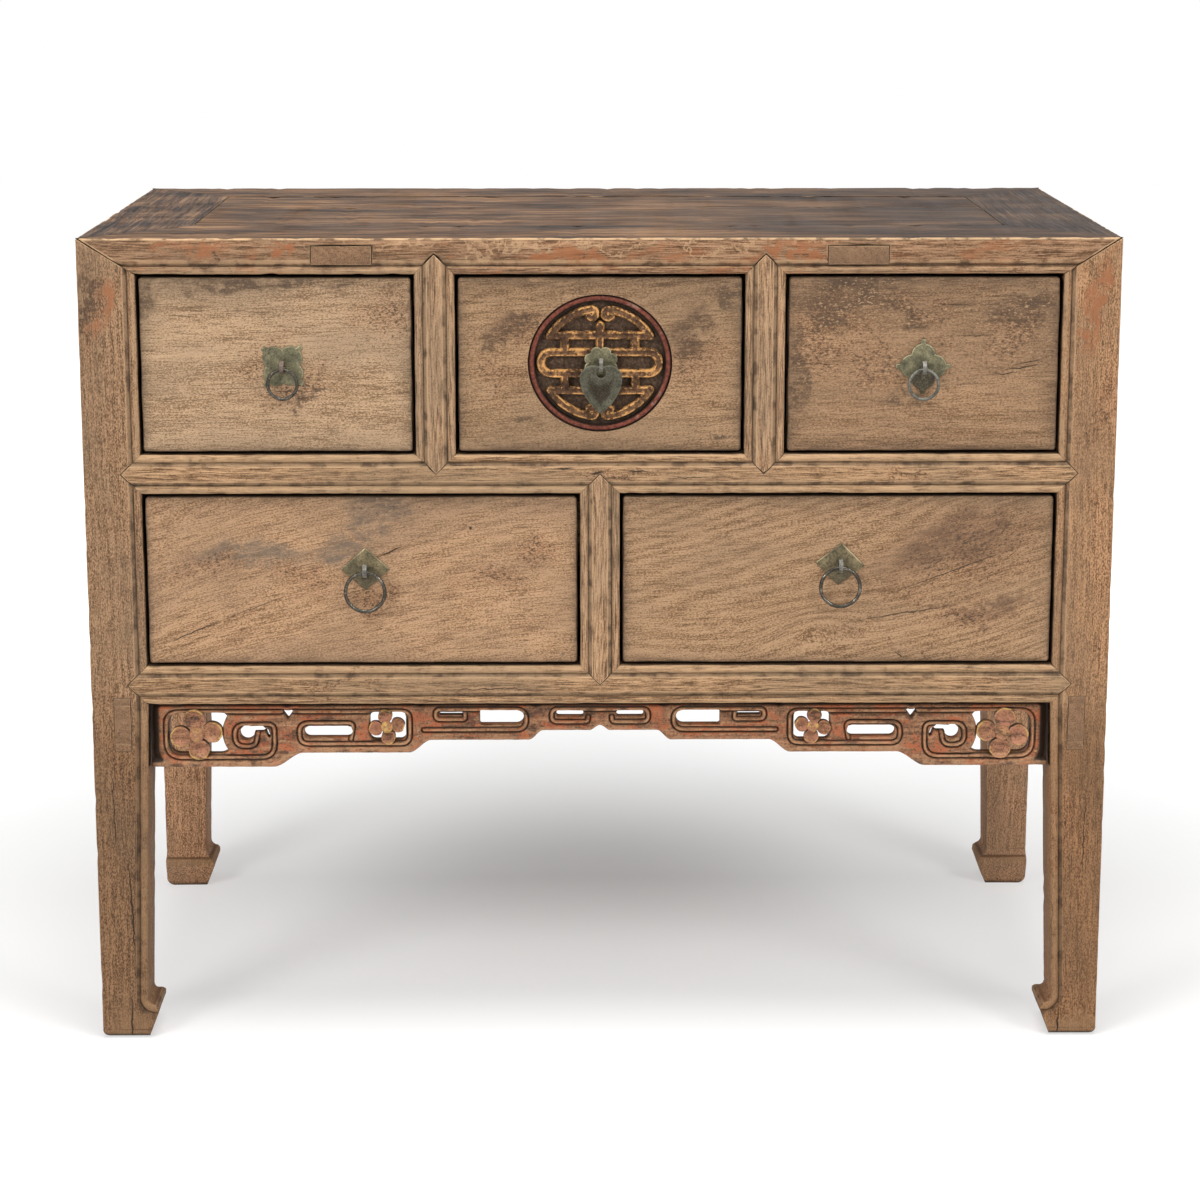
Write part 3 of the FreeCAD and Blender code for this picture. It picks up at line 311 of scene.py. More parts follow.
def new_material(name: str) -> tuple[Material, NodeBench, Node, Socket]:
    """Starts a material.

    Args:
        name: The finish's name.

    Returns:
        The material, the bench for its nodes, its shader, and the place on the piece.
    """
    material = bpy.data.materials.new(name)
    material.use_nodes = True
    bench = NodeBench(material.node_tree)
    shader = material.node_tree.nodes["Principled BSDF"]
    place = bench.add("ShaderNodeTexCoord").outputs["Object"]
    return material, bench, shader, place


def darker(colour: Colour, share: float) -> Colour:
    """A share of a colour."""
    return tuple(share * part for part in colour)


@dataclass(frozen=True)
class Elm:
    """Weathered elm: figure, fibres, open pores, grey film, stains, rubbed arrises and old lacquer, with a painted
    highlight on the arrises and painted shade in grooves, crevices and along drawer rims.

    A scale gives cycles per metre along and across the fibres.
    """

    grain: Grain
    dark: Colour = (0.120, 0.064, 0.030)
    middle: Colour = (0.335, 0.194, 0.104)
    light: Colour = (0.540, 0.338, 0.192)
    film: Colour = (0.245, 0.178, 0.112)
    film_share: float = 0.45
    lacquer: Colour = (0.330, 0.130, 0.058)
    lacquer_share: float = 0.0
    stain: Colour = (0.070, 0.045, 0.029)
    cloud: Colour = (0.085, 0.054, 0.034)
    cloud_share: float = 0.8
    warm: Colour = (0.70, 0.56, 0.50)
    # Colour of cracks, and of the grime and painted shade in crevices.
    grime_and_shade: Colour = (0.028, 0.019, 0.013)
    rubbed: Colour = (0.560, 0.365, 0.205)
    end: Colour = (0.150, 0.078, 0.042)
    tint: Triple = (1.0, 1.0, 1.0)
    contrast: float = 1.0
    bite: float = 1.0
    pitch: float = 8.0
    ringed: float = 0.15
    fibres: float = 1.3
    hairs: float = 2.3
    gritty: float = 1.4
    flecks: float = 0.35
    figure_scale: Pair = (1.8, 62.0)
    fibre_scale: Pair = (7.0, 270.0)
    hair_scale: Pair = (46.0, 820.0)
    grit_scale: Pair = (400.0, 800.0)
    cloud_scale: Pair = (5.0, 13.0)
    speck_scale: Pair = (260.0, 480.0)
    streak_scale: Pair = (40.0, 190.0)
    patch_scale: Pair = (9.0, 38.0)
    tones: Triple = (0.16, 0.52, 0.88)
    pith: Triple = (0.0, 160.0, 40.0)
    tilt: float = 1.5
    lean: float = 0.0
    bow: Pair = (0.0, 0.0)
    knot: Mark | None = None
    swirl: float = 19.0
    low_tint: Triple = (1.0, 1.0, 1.0)
    low_below: float = 0.0
    offset: Triple = (0.0, 0.0, 0.0)
    freckles: float = 0.25
    rough: float = 0.68
    dark_above: float = 0.0
    smoke_tint: Triple = (1.0, 1.0, 1.0)
    smoke: tuple[tuple[float, Colour], ...] = (
        (0.30, (0.018, 0.012, 0.009)), (0.46, (0.066, 0.039, 0.025)),
        (0.60, (0.142, 0.080, 0.044)), (0.76, (0.275, 0.158, 0.084)))
    soot: Colour = (0.034, 0.027, 0.024)
    marks: tuple[Mark, ...] = ()

    def material(self, name: str) -> Material:
        """Builds the finish as one material.

        Args:
            name: Name of the piece that wears it.

        Returns:
            The material.
        """
        material, bench, shader, here = new_material(name)
        inputs = {
            "Vector": self._bowed(bench, here) if self.bow[0] else here,
            "Location": tuple(shift * MM for shift in self.offset),
            "Rotation": (0.0, math.radians(self.lean), 0.0),
        }
        place = bench.add("ShaderNodeMapping", inputs).outputs[0]
        bent = bench.shaken(place, self.grain.stretch(3.0, 9.0), 16.0, 1.0)
        cloud = bench.noise(place, self.grain.stretch(*self.cloud_scale), 3.0, 0.6)
        loose = bench.shaken(here, 17.0, 130.0, 5.0, 0.68)
        dense = bench.times(bench.span(cloud, 0.46, 0.70), self.freckles)
        crowd = self._mask(bench, loose, FRECKLE, 0.1)
        dense = dense if crowd is None else bench.most(dense, crowd)
        fibre = bench.noise(bent, self.grain.stretch(*self.fibre_scale), 3.0, 0.7)
        hair = bench.noise(bent, self.grain.stretch(*self.hair_scale), 1.0, 0.6)
        grit = bench.noise(place, self.grain.stretch(*self.grit_scale), 2.0, 0.8)
        layers = [(self._rings(bench, bent), -self.ringed, 0.0),
                  (bench.noise(bent, self.grain.stretch(*self.figure_scale), 3.0, 0.55), 0.8 * self.contrast, 0.5),
                  (fibre, self.fibres * self.bite, 0.5), (hair, self.hairs * self.bite, 0.5),
                  (grit, bench.span(dense, 0.0, 1.0, self.gritty * self.bite, 4.2 * self.bite), 0.5)]
        tone = self._tone(bench, layers)
        colour = bench.ramp(tone, zip(self.tones, (self.dark, self.middle, self.light)))
        film = bench.times(bench.span(cloud, 0.42, 0.66), self.film_share)
        colour = bench.mix(film, colour, self.film)
        colour = bench.mix(1.0, colour, self.tint, "MULTIPLY")
        colour = bench.mix(self._end_grain(bench), colour, self.end)
        open_pores = bench.span(hair, 0.26, 0.36, 1.0, 0.0)
        colour = bench.mix(bench.times(open_pores, 0.2 * self.hairs), colour, self.stain)
        colour = self._stained(bench, (here, place, loose), colour, dense)
        if self.dark_above:
            colour = self._smoked_top(bench, here, colour, bent)
        colour = self._worn(bench, place, colour)
        if self.low_below:
            height = bench.part(here, 2)
            lower = bench.span(height, (self.low_below - 60.0) * MM, (self.low_below + 40.0) * MM, 1.0, 0.0)
            colour = bench.mix(lower, colour, self.low_tint, "MULTIPLY")
        relief = bench.minus(bench.blend(fibre, 0.6, grit, 0.5), bench.times(open_pores, 0.6))
        rough = bench.span(fibre, 0.3, 0.7, self.rough - 0.08, self.rough + 0.14)
        bench.join(shader, {
            "Base Color": colour, "Roughness": rough, "Normal": bench.bump(relief, 0.55, 0.6),
            "Specular IOR Level": 0.12 if self.dark_above else 0.22,
        })
        return material

    def _bowed(self, bench: NodeBench, here: Socket) -> Socket:
        """Place on a board whose fibres curve upwards from one end.

        Args:
            bench: Bench of the material's nodes.
            here: Place on the piece.

        Returns:
            The bowed place.
        """
        curve, start = self.bow
        run = bench.minus(bench.part(here, 0), start * MM)
        fall = bench.times(bench.times(run, run), -0.5 * curve)
        if self.knot is not None:
            swirl = bench.ellipse(here, self.knot, 0.0)
            fall = bench.minus(fall, bench.times(bench.times(swirl, swirl), self.swirl * MM))
        return bench.vector("ADD", here, bench.add("ShaderNodeCombineXYZ", {2: fall}).outputs[0])

    def _end_grain(self, bench: NodeBench) -> Socket:
        """How squarely a face cuts across the fibres."""
        along = bench.math("ABSOLUTE", bench.facing(self.grain.value))
        return bench.span(along, 0.75, 0.95, 0.0, 0.62)

    def _rings(self, bench: NodeBench, place: Socket) -> Socket:
        """Growth rings about a tilted pith, cut by the board's face.

        Args:
            bench: Bench of the material's nodes.
            place: Place along the fibres.

        Returns:
            The rings, between -0.5 and 0.5.
        """
        tilt = math.radians(self.tilt)
        inputs = {
            "Vector": place,
            "Location": tuple(-shift * MM for shift in self.pith),
            "Rotation": (tilt, tilt, tilt),
        }
        centred = bench.add("ShaderNodeMapping", inputs).outputs[0]
        flat = [1.0, 1.0, 1.0]
        flat[self.grain.value] = 0.0
        radius = bench.vector("LENGTH", bench.vector("MULTIPLY", centred, tuple(flat)))
        wobble = bench.noise(place, self.grain.stretch(4.0, 22.0), 2.0)
        turns = bench.plus(bench.math("DIVIDE", radius, self.pitch * MM),
                           bench.times(wobble, 2.4))
        wave = bench.math("SINE", bench.times(turns, 2.0 * math.pi))
        return bench.times(wave, 0.5)

    @staticmethod
    def _tone(bench: NodeBench, layers: Iterable[tuple[Socket, Any, float]]) -> Socket:
        """Light and dark of the bare wood from layers, each with its weight and its mean.

        Args:
            bench: Bench of the material's nodes.
            layers: Each layer with its weight and its mean.

        Returns:
            The tone.
        """
        total: Any = 0.54
        for layer, weight, mean in layers:
            total = bench.swing(total, layer, weight, mean)
        return total

    def _mask(self, bench: NodeBench, place: Socket, kind: MarkKind, hard: float) -> Socket | None:
        """All marks of one kind as one mask on the front faces, or nothing if the board has none.

        Args:
            bench: Bench of the material's nodes.
            place: Where the masks are taken.
            kind: Kind of the marks.
            hard: Share of a mark that is full.

        Returns:
            The mask, or None.
        """
        total = None
        for mark in self.marks:
            if mark.kind is kind:
                mask = bench.ellipse(place, mark, hard)
                total = mask if total is None else bench.most(total, mask)
        if total is None:
            return None
        return bench.times(total, bench.span(bench.facing(1), -0.7, -0.3, 1.0, 0.0))

    def _stained(self, bench: NodeBench, places: tuple[Socket, Socket, Socket], colour: Socket,
                 dense: Socket) -> Socket:
        """Colour after lacquer remains, washes, specks and cracks, and dirt and painted shade along a drawer front's
        rim.

        Args:
            bench: The bench of the material's nodes.
            places: Place on the piece, along the fibres, and shaken for soft edges.
            colour: Colour of the bare wood.
            dense: How crowded the freckles are.

        Returns:
            The stained colour.
        """
        here, place, loose = places
        tight = bench.shaken(here, 75.0, 6.0)
        patch = bench.noise(place, self.grain.stretch(*self.patch_scale), 4.0, 0.68)
        red = bench.span(patch, 0.66 - 0.22 * self.lacquer_share, 0.74 - 0.16 * self.lacquer_share)
        red = bench.times(red, min(1.0, 1.4 * self.lacquer_share))
        spot = self._mask(bench, loose, LACQUER, 0.35)
        if spot is not None:
            red = bench.most(red, bench.times(spot, bench.span(patch, 0.36, 0.52)))
        colour = bench.mix(bench.times(red, 0.85), colour, self.lacquer)
        pale = self._mask(bench, loose, PALE, 0.2)
        if pale is not None:
            colour = bench.mix(bench.times(pale, 0.5), colour, self.rubbed)
        streak = bench.noise(place, self.grain.stretch(*self.streak_scale), 5.0, 0.72)
        wash = self._mask(bench, loose, WASH, 0.0)
        if wash is not None:
            wash = bench.span(wash, 0.0, 0.85)
            broken = bench.times(bench.span(streak, 0.34, 0.60, 0.35, 1.0), self.cloud_share)
            colour = bench.mix(bench.times(broken, wash), colour, self.cloud)
        # A drawer front's rim goes darker: dirt and painted shade at its edges, and a painted shadow under the rail
        # along its top.
        rim = bench.times(bench.attribute("rim"), bench.span(streak, 0.35, 0.62, 0.5, 1.0))
        colour = bench.mix(bench.times(rim, 0.85), colour, self.stain)
        specks = bench.noise(place, self.grain.stretch(*self.speck_scale), 3.0, 0.7)
        colour = bench.mix(bench.times(dense, 0.45), colour, self.warm, "MULTIPLY")
        soiled = dense if wash is None else bench.most(dense, wash)
        fleck = bench.times(bench.span(specks, 0.57, 0.64), bench.times(soiled, self.flecks))
        colour = bench.mix(fleck, colour, self.rubbed)
        edge = bench.plus(0.33, bench.times(dense, 0.13))
        dotted = bench.times(bench.minus(edge, specks), 20.0)
        dotted = bench.math("MINIMUM", bench.most(dotted, 0.0), 0.82)
        colour = bench.mix(dotted, colour, self.stain)
        crack = self._mask(bench, tight, CRACK, 0.35)
        if crack is not None:
            colour = bench.mix(bench.times(crack, 0.92), colour, self.grime_and_shade)
        return colour

    def _smoked_top(self, bench: NodeBench, here: Socket, colour: Socket, bent: Socket) -> Socket:
        """Colour where the upper face has gone dark with age, worn through in streaks.

        Args:
            bench: Bench of the material's nodes.
            here: Place on the piece.
            colour: Colour so far.
            bent: Place along the bent fibres.

        Returns:
            The smoked colour.
        """
        height = bench.part(here, 2)
        upper = bench.span(height, (self.dark_above - 3.2) * MM, (self.dark_above - 1.6) * MM)
        streak = bench.noise(bent, self.grain.stretch(5.5, 70.0), 6.0, 0.74)
        cloud = bench.noise(here, (7.0, 16.0, 16.0), 2.0)
        streak = bench.swing(streak, cloud, 0.7)
        grain = bench.noise(bent, self.grain.stretch(16.0, 420.0), 3.0, 0.75)
        streak = bench.swing(streak, grain, 0.9)
        smoke = bench.mix(1.0, bench.ramp(streak, self.smoke), self.smoke_tint, "MULTIPLY")
        smoke = bench.mix(bench.span(bench.part(here, 0), -0.15, 0.45, 0.0, 0.62), smoke, self.soot)
        return bench.mix(upper, colour, smoke)

    def _worn(self, bench: NodeBench, place: Socket, colour: Socket) -> Socket:
        """Colour after rubbing on the arrises, partly a painted highlight, and grime and painted shade in grooves and
        crevices.

        Args:
            bench: Bench of the material's nodes.
            place: Place along the fibres.
            colour: Colour so far.

        Returns:
            The worn colour.
        """
        scuff = bench.noise(place, 55.0, 3.0, 0.6)
        # Rubbed arrises and bead crowns: wear, and a painted highlight where the edges catch the light.
        rub = bench.times(bench.attribute("arris"), bench.span(scuff, 0.36, 0.54, 0.2, 0.9))
        colour = bench.mix(rub, colour, self.rubbed)
        # Narrow grooves go darker: dirt and painted shade.
        crease = bench.times(bench.attribute("crease"), bench.span(scuff, 0.30, 0.58, 0.85, 0.30))
        colour = bench.mix(crease, colour, self.stain)
        # Ambient occlusion darkens the crevices: grime and painted shade.
        grime_and_shade = bench.times(bench.crevice(7.0, 0.35, 0.88), 0.88)
        return bench.mix(grime_and_shade, colour, self.grime_and_shade)


@dataclass(frozen=True)
class CarvedLacquer:
    """Carved elm under worn red lacquer, bare on the ridges, gilt on some rims, black in the hollows and deep in the
    holes from grime and painted shade.
    """

    wood: Colour = (0.240, 0.110, 0.052)
    red: Colour = (0.400, 0.112, 0.042)
    bare: Colour = (0.470, 0.262, 0.138)
    recess: Colour = (0.020, 0.012, 0.008)
    gilt: Colour = (0.640, 0.400, 0.110)
    red_share: float = 0.62
    rough: float = 0.60

    def material(self, name: str) -> Material:
        """Builds the finish; the mesh carries its open faces (which set the painted shade), rubbed ridges and gilt
        rims.

        Args:
            name: Name of the piece that wears it.

        Returns:
            The material.
        """
        material, bench, shader, here = new_material(name)
        grain = bench.noise(here, (20.0, 260.0, 260.0), 4.0, 0.66)
        grit = bench.noise(here, 520.0, 2.0, 0.7)
        tone = bench.blend(grain, 0.6, grit, 0.4)
        colour = bench.ramp(tone, [(0.36, darker(self.wood, 0.30)), (0.50, self.wood), (0.66, self.bare)])
        patch = bench.noise(here, (42.0, 75.0, 75.0), 5.0, 0.72)
        low = 0.60 - 0.2 * self.red_share
        red = bench.times(bench.span(patch, low, low + 0.10), bench.span(grit, 0.34, 0.54, 0.35, 0.95))
        colour = bench.mix(red, colour, self.red)
        scuff = bench.noise(here, 95.0, 3.0, 0.66)
        rub = bench.times(bench.attribute("rubbed"), bench.span(scuff, 0.38, 0.58, 0.15, 0.95))
        colour = bench.mix(rub, colour, self.bare)
        leaf = bench.times(bench.attribute("gilt"), bench.span(scuff, 0.44, 0.56, 0.05, 0.9))
        colour = bench.mix(leaf, colour, self.gilt)
        # Painted shade: black in the hollows, under the rail and deep in the holes, with blots and pits of dirt.
        dark = bench.span(bench.attribute("relief"), 0.15, 0.85, 0.96, 0.0)
        pit = bench.span(grit, 0.40, 0.28, 0.0, 0.8)
        blot = bench.span(bench.noise(here, (30.0, 60.0, 60.0), 5.0, 0.75), 0.47, 0.36, 0.0, 0.7)
        dark = bench.most(bench.most(dark, blot), pit)
        colour = bench.mix(dark, colour, self.recess)
        # Ambient occlusion darkens the crevices: grime and painted shade.
        grime_and_shade = bench.times(bench.crevice(6.0, 0.20, 0.72), 0.9)
        colour = bench.mix(grime_and_shade, colour, self.recess)
        bench.join(shader, {
            "Base Color": colour, "Normal": bench.bump(bench.plus(tone, patch), 0.6, 0.7), "Specular IOR Level": 0.35,
            "Roughness": bench.span(patch, 0.3, 0.7, self.rough + 0.1, self.rough - 0.1)})
        return material


@dataclass(frozen=True)
class GiltLattice:
    """Roundel finish: crimson ring, gilt rubbed bars, dark brown ground, and painted shade along the ring's edges and
    in the crevices.
    """

    ground: Colour = (0.088, 0.052, 0.031)
    bar: Colour = (0.105, 0.050, 0.023)
    dust: Colour = (0.190, 0.125, 0.078)
    worn_bar: Colour = (0.300, 0.155, 0.070)
    gilt: Colour = (0.700, 0.360, 0.120)
    crimson: Colour = (0.225, 0.062, 0.038)
    faded: Colour = (0.36, 0.23, 0.16)
    dark: Colour = (0.016, 0.011, 0.008)

    def material(self, name: str) -> Material:
        """Builds the finish; the mesh carries its height, its ring, the outline where shade is painted, and its rubbed
        edges.

        Args:
            name: Name of the piece that wears it.

        Returns:
            The material.
        """
        material, bench, shader, here = new_material(name)
        speck = bench.noise(here, 330.0, 4.0, 0.7)
        coarse = bench.noise(here, 70.0, 3.0, 0.6)
        base = bench.ramp(speck, [(0.35, darker(self.ground, 0.35)), (0.55, self.ground), (0.75, self.dust)])
        bars = bench.ramp(bench.blend(speck, 0.6, coarse, 0.4),
                          [(0.36, darker(self.bar, 0.25)), (0.50, self.bar), (0.66, self.worn_bar)])
        colour = bench.mix(bench.span(bench.attribute("relief"), 0.25, 0.7), base, bars)
        worn = bench.times(bench.span(bench.attribute("rubbed"), 0.20, 0.70),
                          bench.span(bench.plus(speck, coarse), 0.90, 1.12, 0.0, 0.95))
        patch = bench.times(bench.span(bench.attribute("relief"), 0.8, 0.97), bench.span(coarse, 0.56, 0.64))
        patch = bench.times(patch, bench.span(speck, 0.40, 0.58))
        worn = bench.most(worn, bench.times(patch, 0.9))
        colour = bench.mix(worn, colour, self.gilt)
        red = bench.mix(bench.span(speck, 0.40, 0.62), darker(self.crimson, 0.45), self.crimson)
        red = bench.mix(bench.times(bench.span(coarse, 0.56, 0.70), 0.5), red, self.faded)
        colour = bench.mix(bench.attribute("ring"), colour, red)
        # Painted shade along the disc's outer edge and the ring's inner step.
        colour = bench.mix(bench.times(bench.attribute("outline"), 0.9), colour, self.dark)
        # Ambient occlusion darkens the crevices: grime and painted shade.
        grime_and_shade = bench.times(bench.crevice(6.0, 0.20, 0.78), 0.9)
        colour = bench.mix(grime_and_shade, colour, self.dark)
        bench.join(shader, {"Base Color": colour, "Normal": bench.bump(speck, 0.5, 0.5), "Specular IOR Level": 0.2,
                            "Roughness": bench.span(worn, 0.0, 1.0, 0.68, 0.45)})
        return material


@dataclass(frozen=True)
class Patina:
    """Old metal: a worn sheet or wire under spots of oxide, brighter where hands rub it."""

    metal: Colour = (0.150, 0.136, 0.078)
    oxide: Colour = (0.052, 0.049, 0.030)
    bright: Colour = (0.310, 0.270, 0.158)
    # Colour of the core: a painted shadow on a plate, the leaf's own dark centre.
    stain: Colour = (0.040, 0.029, 0.020)
    spots: float = 0.5
    metallic: float = 0.65
    gloss: float = 0.5
    rough: float = 0.52
    dents: float = 0.5

    def material(self, name: str) -> Material:
        """Builds the finish as one material.

        Args:
            name: Name of the piece that wears it.

        Returns:
            The material.
        """
        material, bench, shader, here = new_material(name)
        cloud = bench.noise(here, 95.0, 4.0, 0.65)
        speck = bench.noise(here, 620.0, 3.0, 0.65)
        colour = bench.ramp(bench.blend(cloud, 0.6, speck, 0.4),
                            [(0.34, self.oxide), (0.52, self.metal), (0.72, self.bright)])
        spotted = bench.span(speck, 0.40 + 0.12 * (self.spots - 0.5), 0.33, 0.0, 0.8)
        colour = bench.mix(spotted, colour, self.oxide)
        rub = bench.times(bench.attribute("arris"), bench.span(cloud, 0.35, 0.6, 0.15, 0.8))
        colour = bench.mix(rub, colour, self.bright)
        # Core: on a plate a painted shadow inside the ring, on the leaf its own dark centre.
        core = bench.times(bench.attribute("core"), bench.span(speck, 0.36, 0.62, 1.0, 0.55))
        colour = bench.mix(core, colour, self.stain)
        # Ambient occlusion darkens the hollows: oxide and painted shade.
        grime_and_shade = bench.times(bench.crevice(4.0, 0.25, 0.75), 0.75)
        colour = bench.mix(grime_and_shade, colour, darker(self.oxide, 0.4))
        hammered = bench.plus(cloud, bench.times(speck, 0.4))
        bench.join(shader, {
            "Base Color": colour, "Normal": bench.bump(hammered, self.dents, 0.4), "Metallic": self.metallic,
            "Specular IOR Level": self.gloss,
            "Roughness": bench.span(cloud, 0.3, 0.7, self.rough + 0.12, self.rough - 0.12)})
        return material


def hand_over(name: str, mesh: Mesh, material: Material, body: str,
              nodes: Iterable[str] = (), sharp: float = 38.0) -> bpy.types.Object:
    """Makes a finished mesh a piece of the object.

    Args:
        name: The piece's name.
        mesh: Its mesh, in place.
        material: Its finish.
        body: The body that it rides on.
        nodes: The CAD nodes that it stands for.
        sharp: Angle in degrees above which an edge stays crisp.

    Returns:
        The piece's object.
    """
    mesh.name = name
    mesh.materials.clear()
    mesh.materials.append(material)
    mesh.shade_smooth()
    mesh.set_sharp_from_angle(angle=math.radians(sharp))
    piece = bpy.data.objects.new(name, mesh)
    bpy.context.scene.collection.objects.link(piece)
    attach(piece, body)
    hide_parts(*nodes)
    LOG.info("piece %s: %d faces on %s", name, len(mesh.polygons), body)
    return piece


def dress_node(node: str, material: Material) -> None:
    """Gives a CAD node that stays in view a finish.

    Args:
        node: The CAD node's name.
        material: Its finish.
    """
    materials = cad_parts[node].data.materials
    materials.clear()
    materials.append(material)
    LOG.info("dressed node %s", node)


def front_box(node: str) -> tuple[Vector, Vector, Pair, Pair]:
    """Measures the box of a CAD node in millimetres.

    Args:
        node: The node's name.

    Returns:
        Its low and high corners, and the middle and the half size of its front along X and Z.
    """
    low, high = (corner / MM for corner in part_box(node))
    middle = ((low.x + high.x) / 2.0, (low.z + high.z) / 2.0)
    half = ((high.x - low.x) / 2.0, (high.z - low.z) / 2.0)
    return low, high, middle, half


def smooth_step(value: Array, low: float, high: float) -> Array:
    """Smooth rise from 0 to 1 between two limits."""
    share = np.clip((value - low) / (high - low), 0.0, 1.0)
    return share * share * (3.0 - 2.0 * share)


def bell(value: Array, middle: float, spread: float) -> Array:
    """Rounded bump of height 1 about a middle."""
    return np.exp(-((value - middle) / spread) ** 2)


def ripple(x: Array, z: Array, length: float, seed: float) -> Array:
    """Gentle unevenness between about -1 and 1, from a few crossed waves.

    Args:
        x: Places along X.
        z: Places along Z.
        length: Length of the waves.
        seed: Number that varies them.

    Returns:
        The unevenness at each place.
    """
    total = np.zeros_like(x)
    for count in range(1, 5):
        turn = seed + 2.4 * count
        run = (x * math.cos(turn) + z * math.sin(turn)) * 2.0 * math.pi / length
        total += np.sin(run * (0.6 + 0.37 * count) + 1.7 * seed * count) / count
    return total / 2.1


def box_distance(x: Array, z: Array, middle: Pair, half: Pair, radius: float) -> Array:
    """Distance outside a rounded rectangle, negative inside.

    Args:
        x: Places along X.
        z: Places along Z.
        middle: Middle of the rectangle.
        half: Half of the width and of the height.
        radius: Radius of its corners.

    Returns:
        The distance at each place.
    """
    reach_x = np.abs(x - middle[0]) - half[0] + radius
    reach_z = np.abs(z - middle[1]) - half[1] + radius
    outside = np.hypot(np.maximum(reach_x, 0.0), np.maximum(reach_z, 0.0))
    return outside + np.minimum(np.maximum(reach_x, reach_z), 0.0) - radius


def path_distance(x: Array, z: Array, points: list[Pair]) -> Array:
    """Distance from a path of straight runs.

    Args:
        x: Places along X.
        z: Places along Z.
        points: Ends of the runs.

    Returns:
        The distance at each place.
    """
    nearest = np.full_like(x, 1e9)
    for (x0, z0), (x1, z1) in zip(points, points[1:]):
        run = (x1 - x0, z1 - z0)
        share = ((x - x0) * run[0] + (z - z0) * run[1]) / (run[0] ** 2 + run[1] ** 2)
        share = np.clip(share, 0.0, 1.0)
        nearest = np.minimum(nearest, np.hypot(x - x0 - share * run[0], z - z0 - share * run[1]))
    return nearest


def rounded_path(corners: tuple[Triple, ...]) -> list[Pair]:
    """Path through corners that are turned in a curve.

    Args:
        corners: Place of each corner, with the length of its turn along both sides.

    Returns:
        Points along the path.
    """
    points = [corners[0][:2]]
    for before, corner, after in zip(corners, corners[1:], corners[2:]):
        middle = np.array(corner[:2])
        sides = [np.array(other[:2]) - middle for other in (before, after)]
        start, end = (middle + side * min(0.5, corner[2] / np.linalg.norm(side)) for side in sides)
        for share in np.linspace(0.0, 1.0, 6):
            turned = (1.0 - share) ** 2 * start + 2.0 * share * (1.0 - share) * middle + share ** 2 * end
            points.append(tuple(turned))
    return points + [corners[-1][:2]]


def fine_ended(low: float, high: float, step: float, margin: float, fine: float) -> Array:
    """Grid lines from low to high, closer together near both ends.

    Args:
        low: Where the lines start.
        high: Where they end.
        step: Widest spacing.
        margin: Length of the fine ends.
        fine: Spacing there.

    Returns:
        The lines.
    """
    edge = np.arange(low - 2.0 * fine, low + margin, fine)
    far = np.arange(high - margin, high + 2.5 * fine, fine)
    count = max(2, int(math.ceil((far[0] - edge[-1]) / step)))
    return np.concatenate([edge, np.linspace(edge[-1], far[0], count + 1)[1:-1], far])


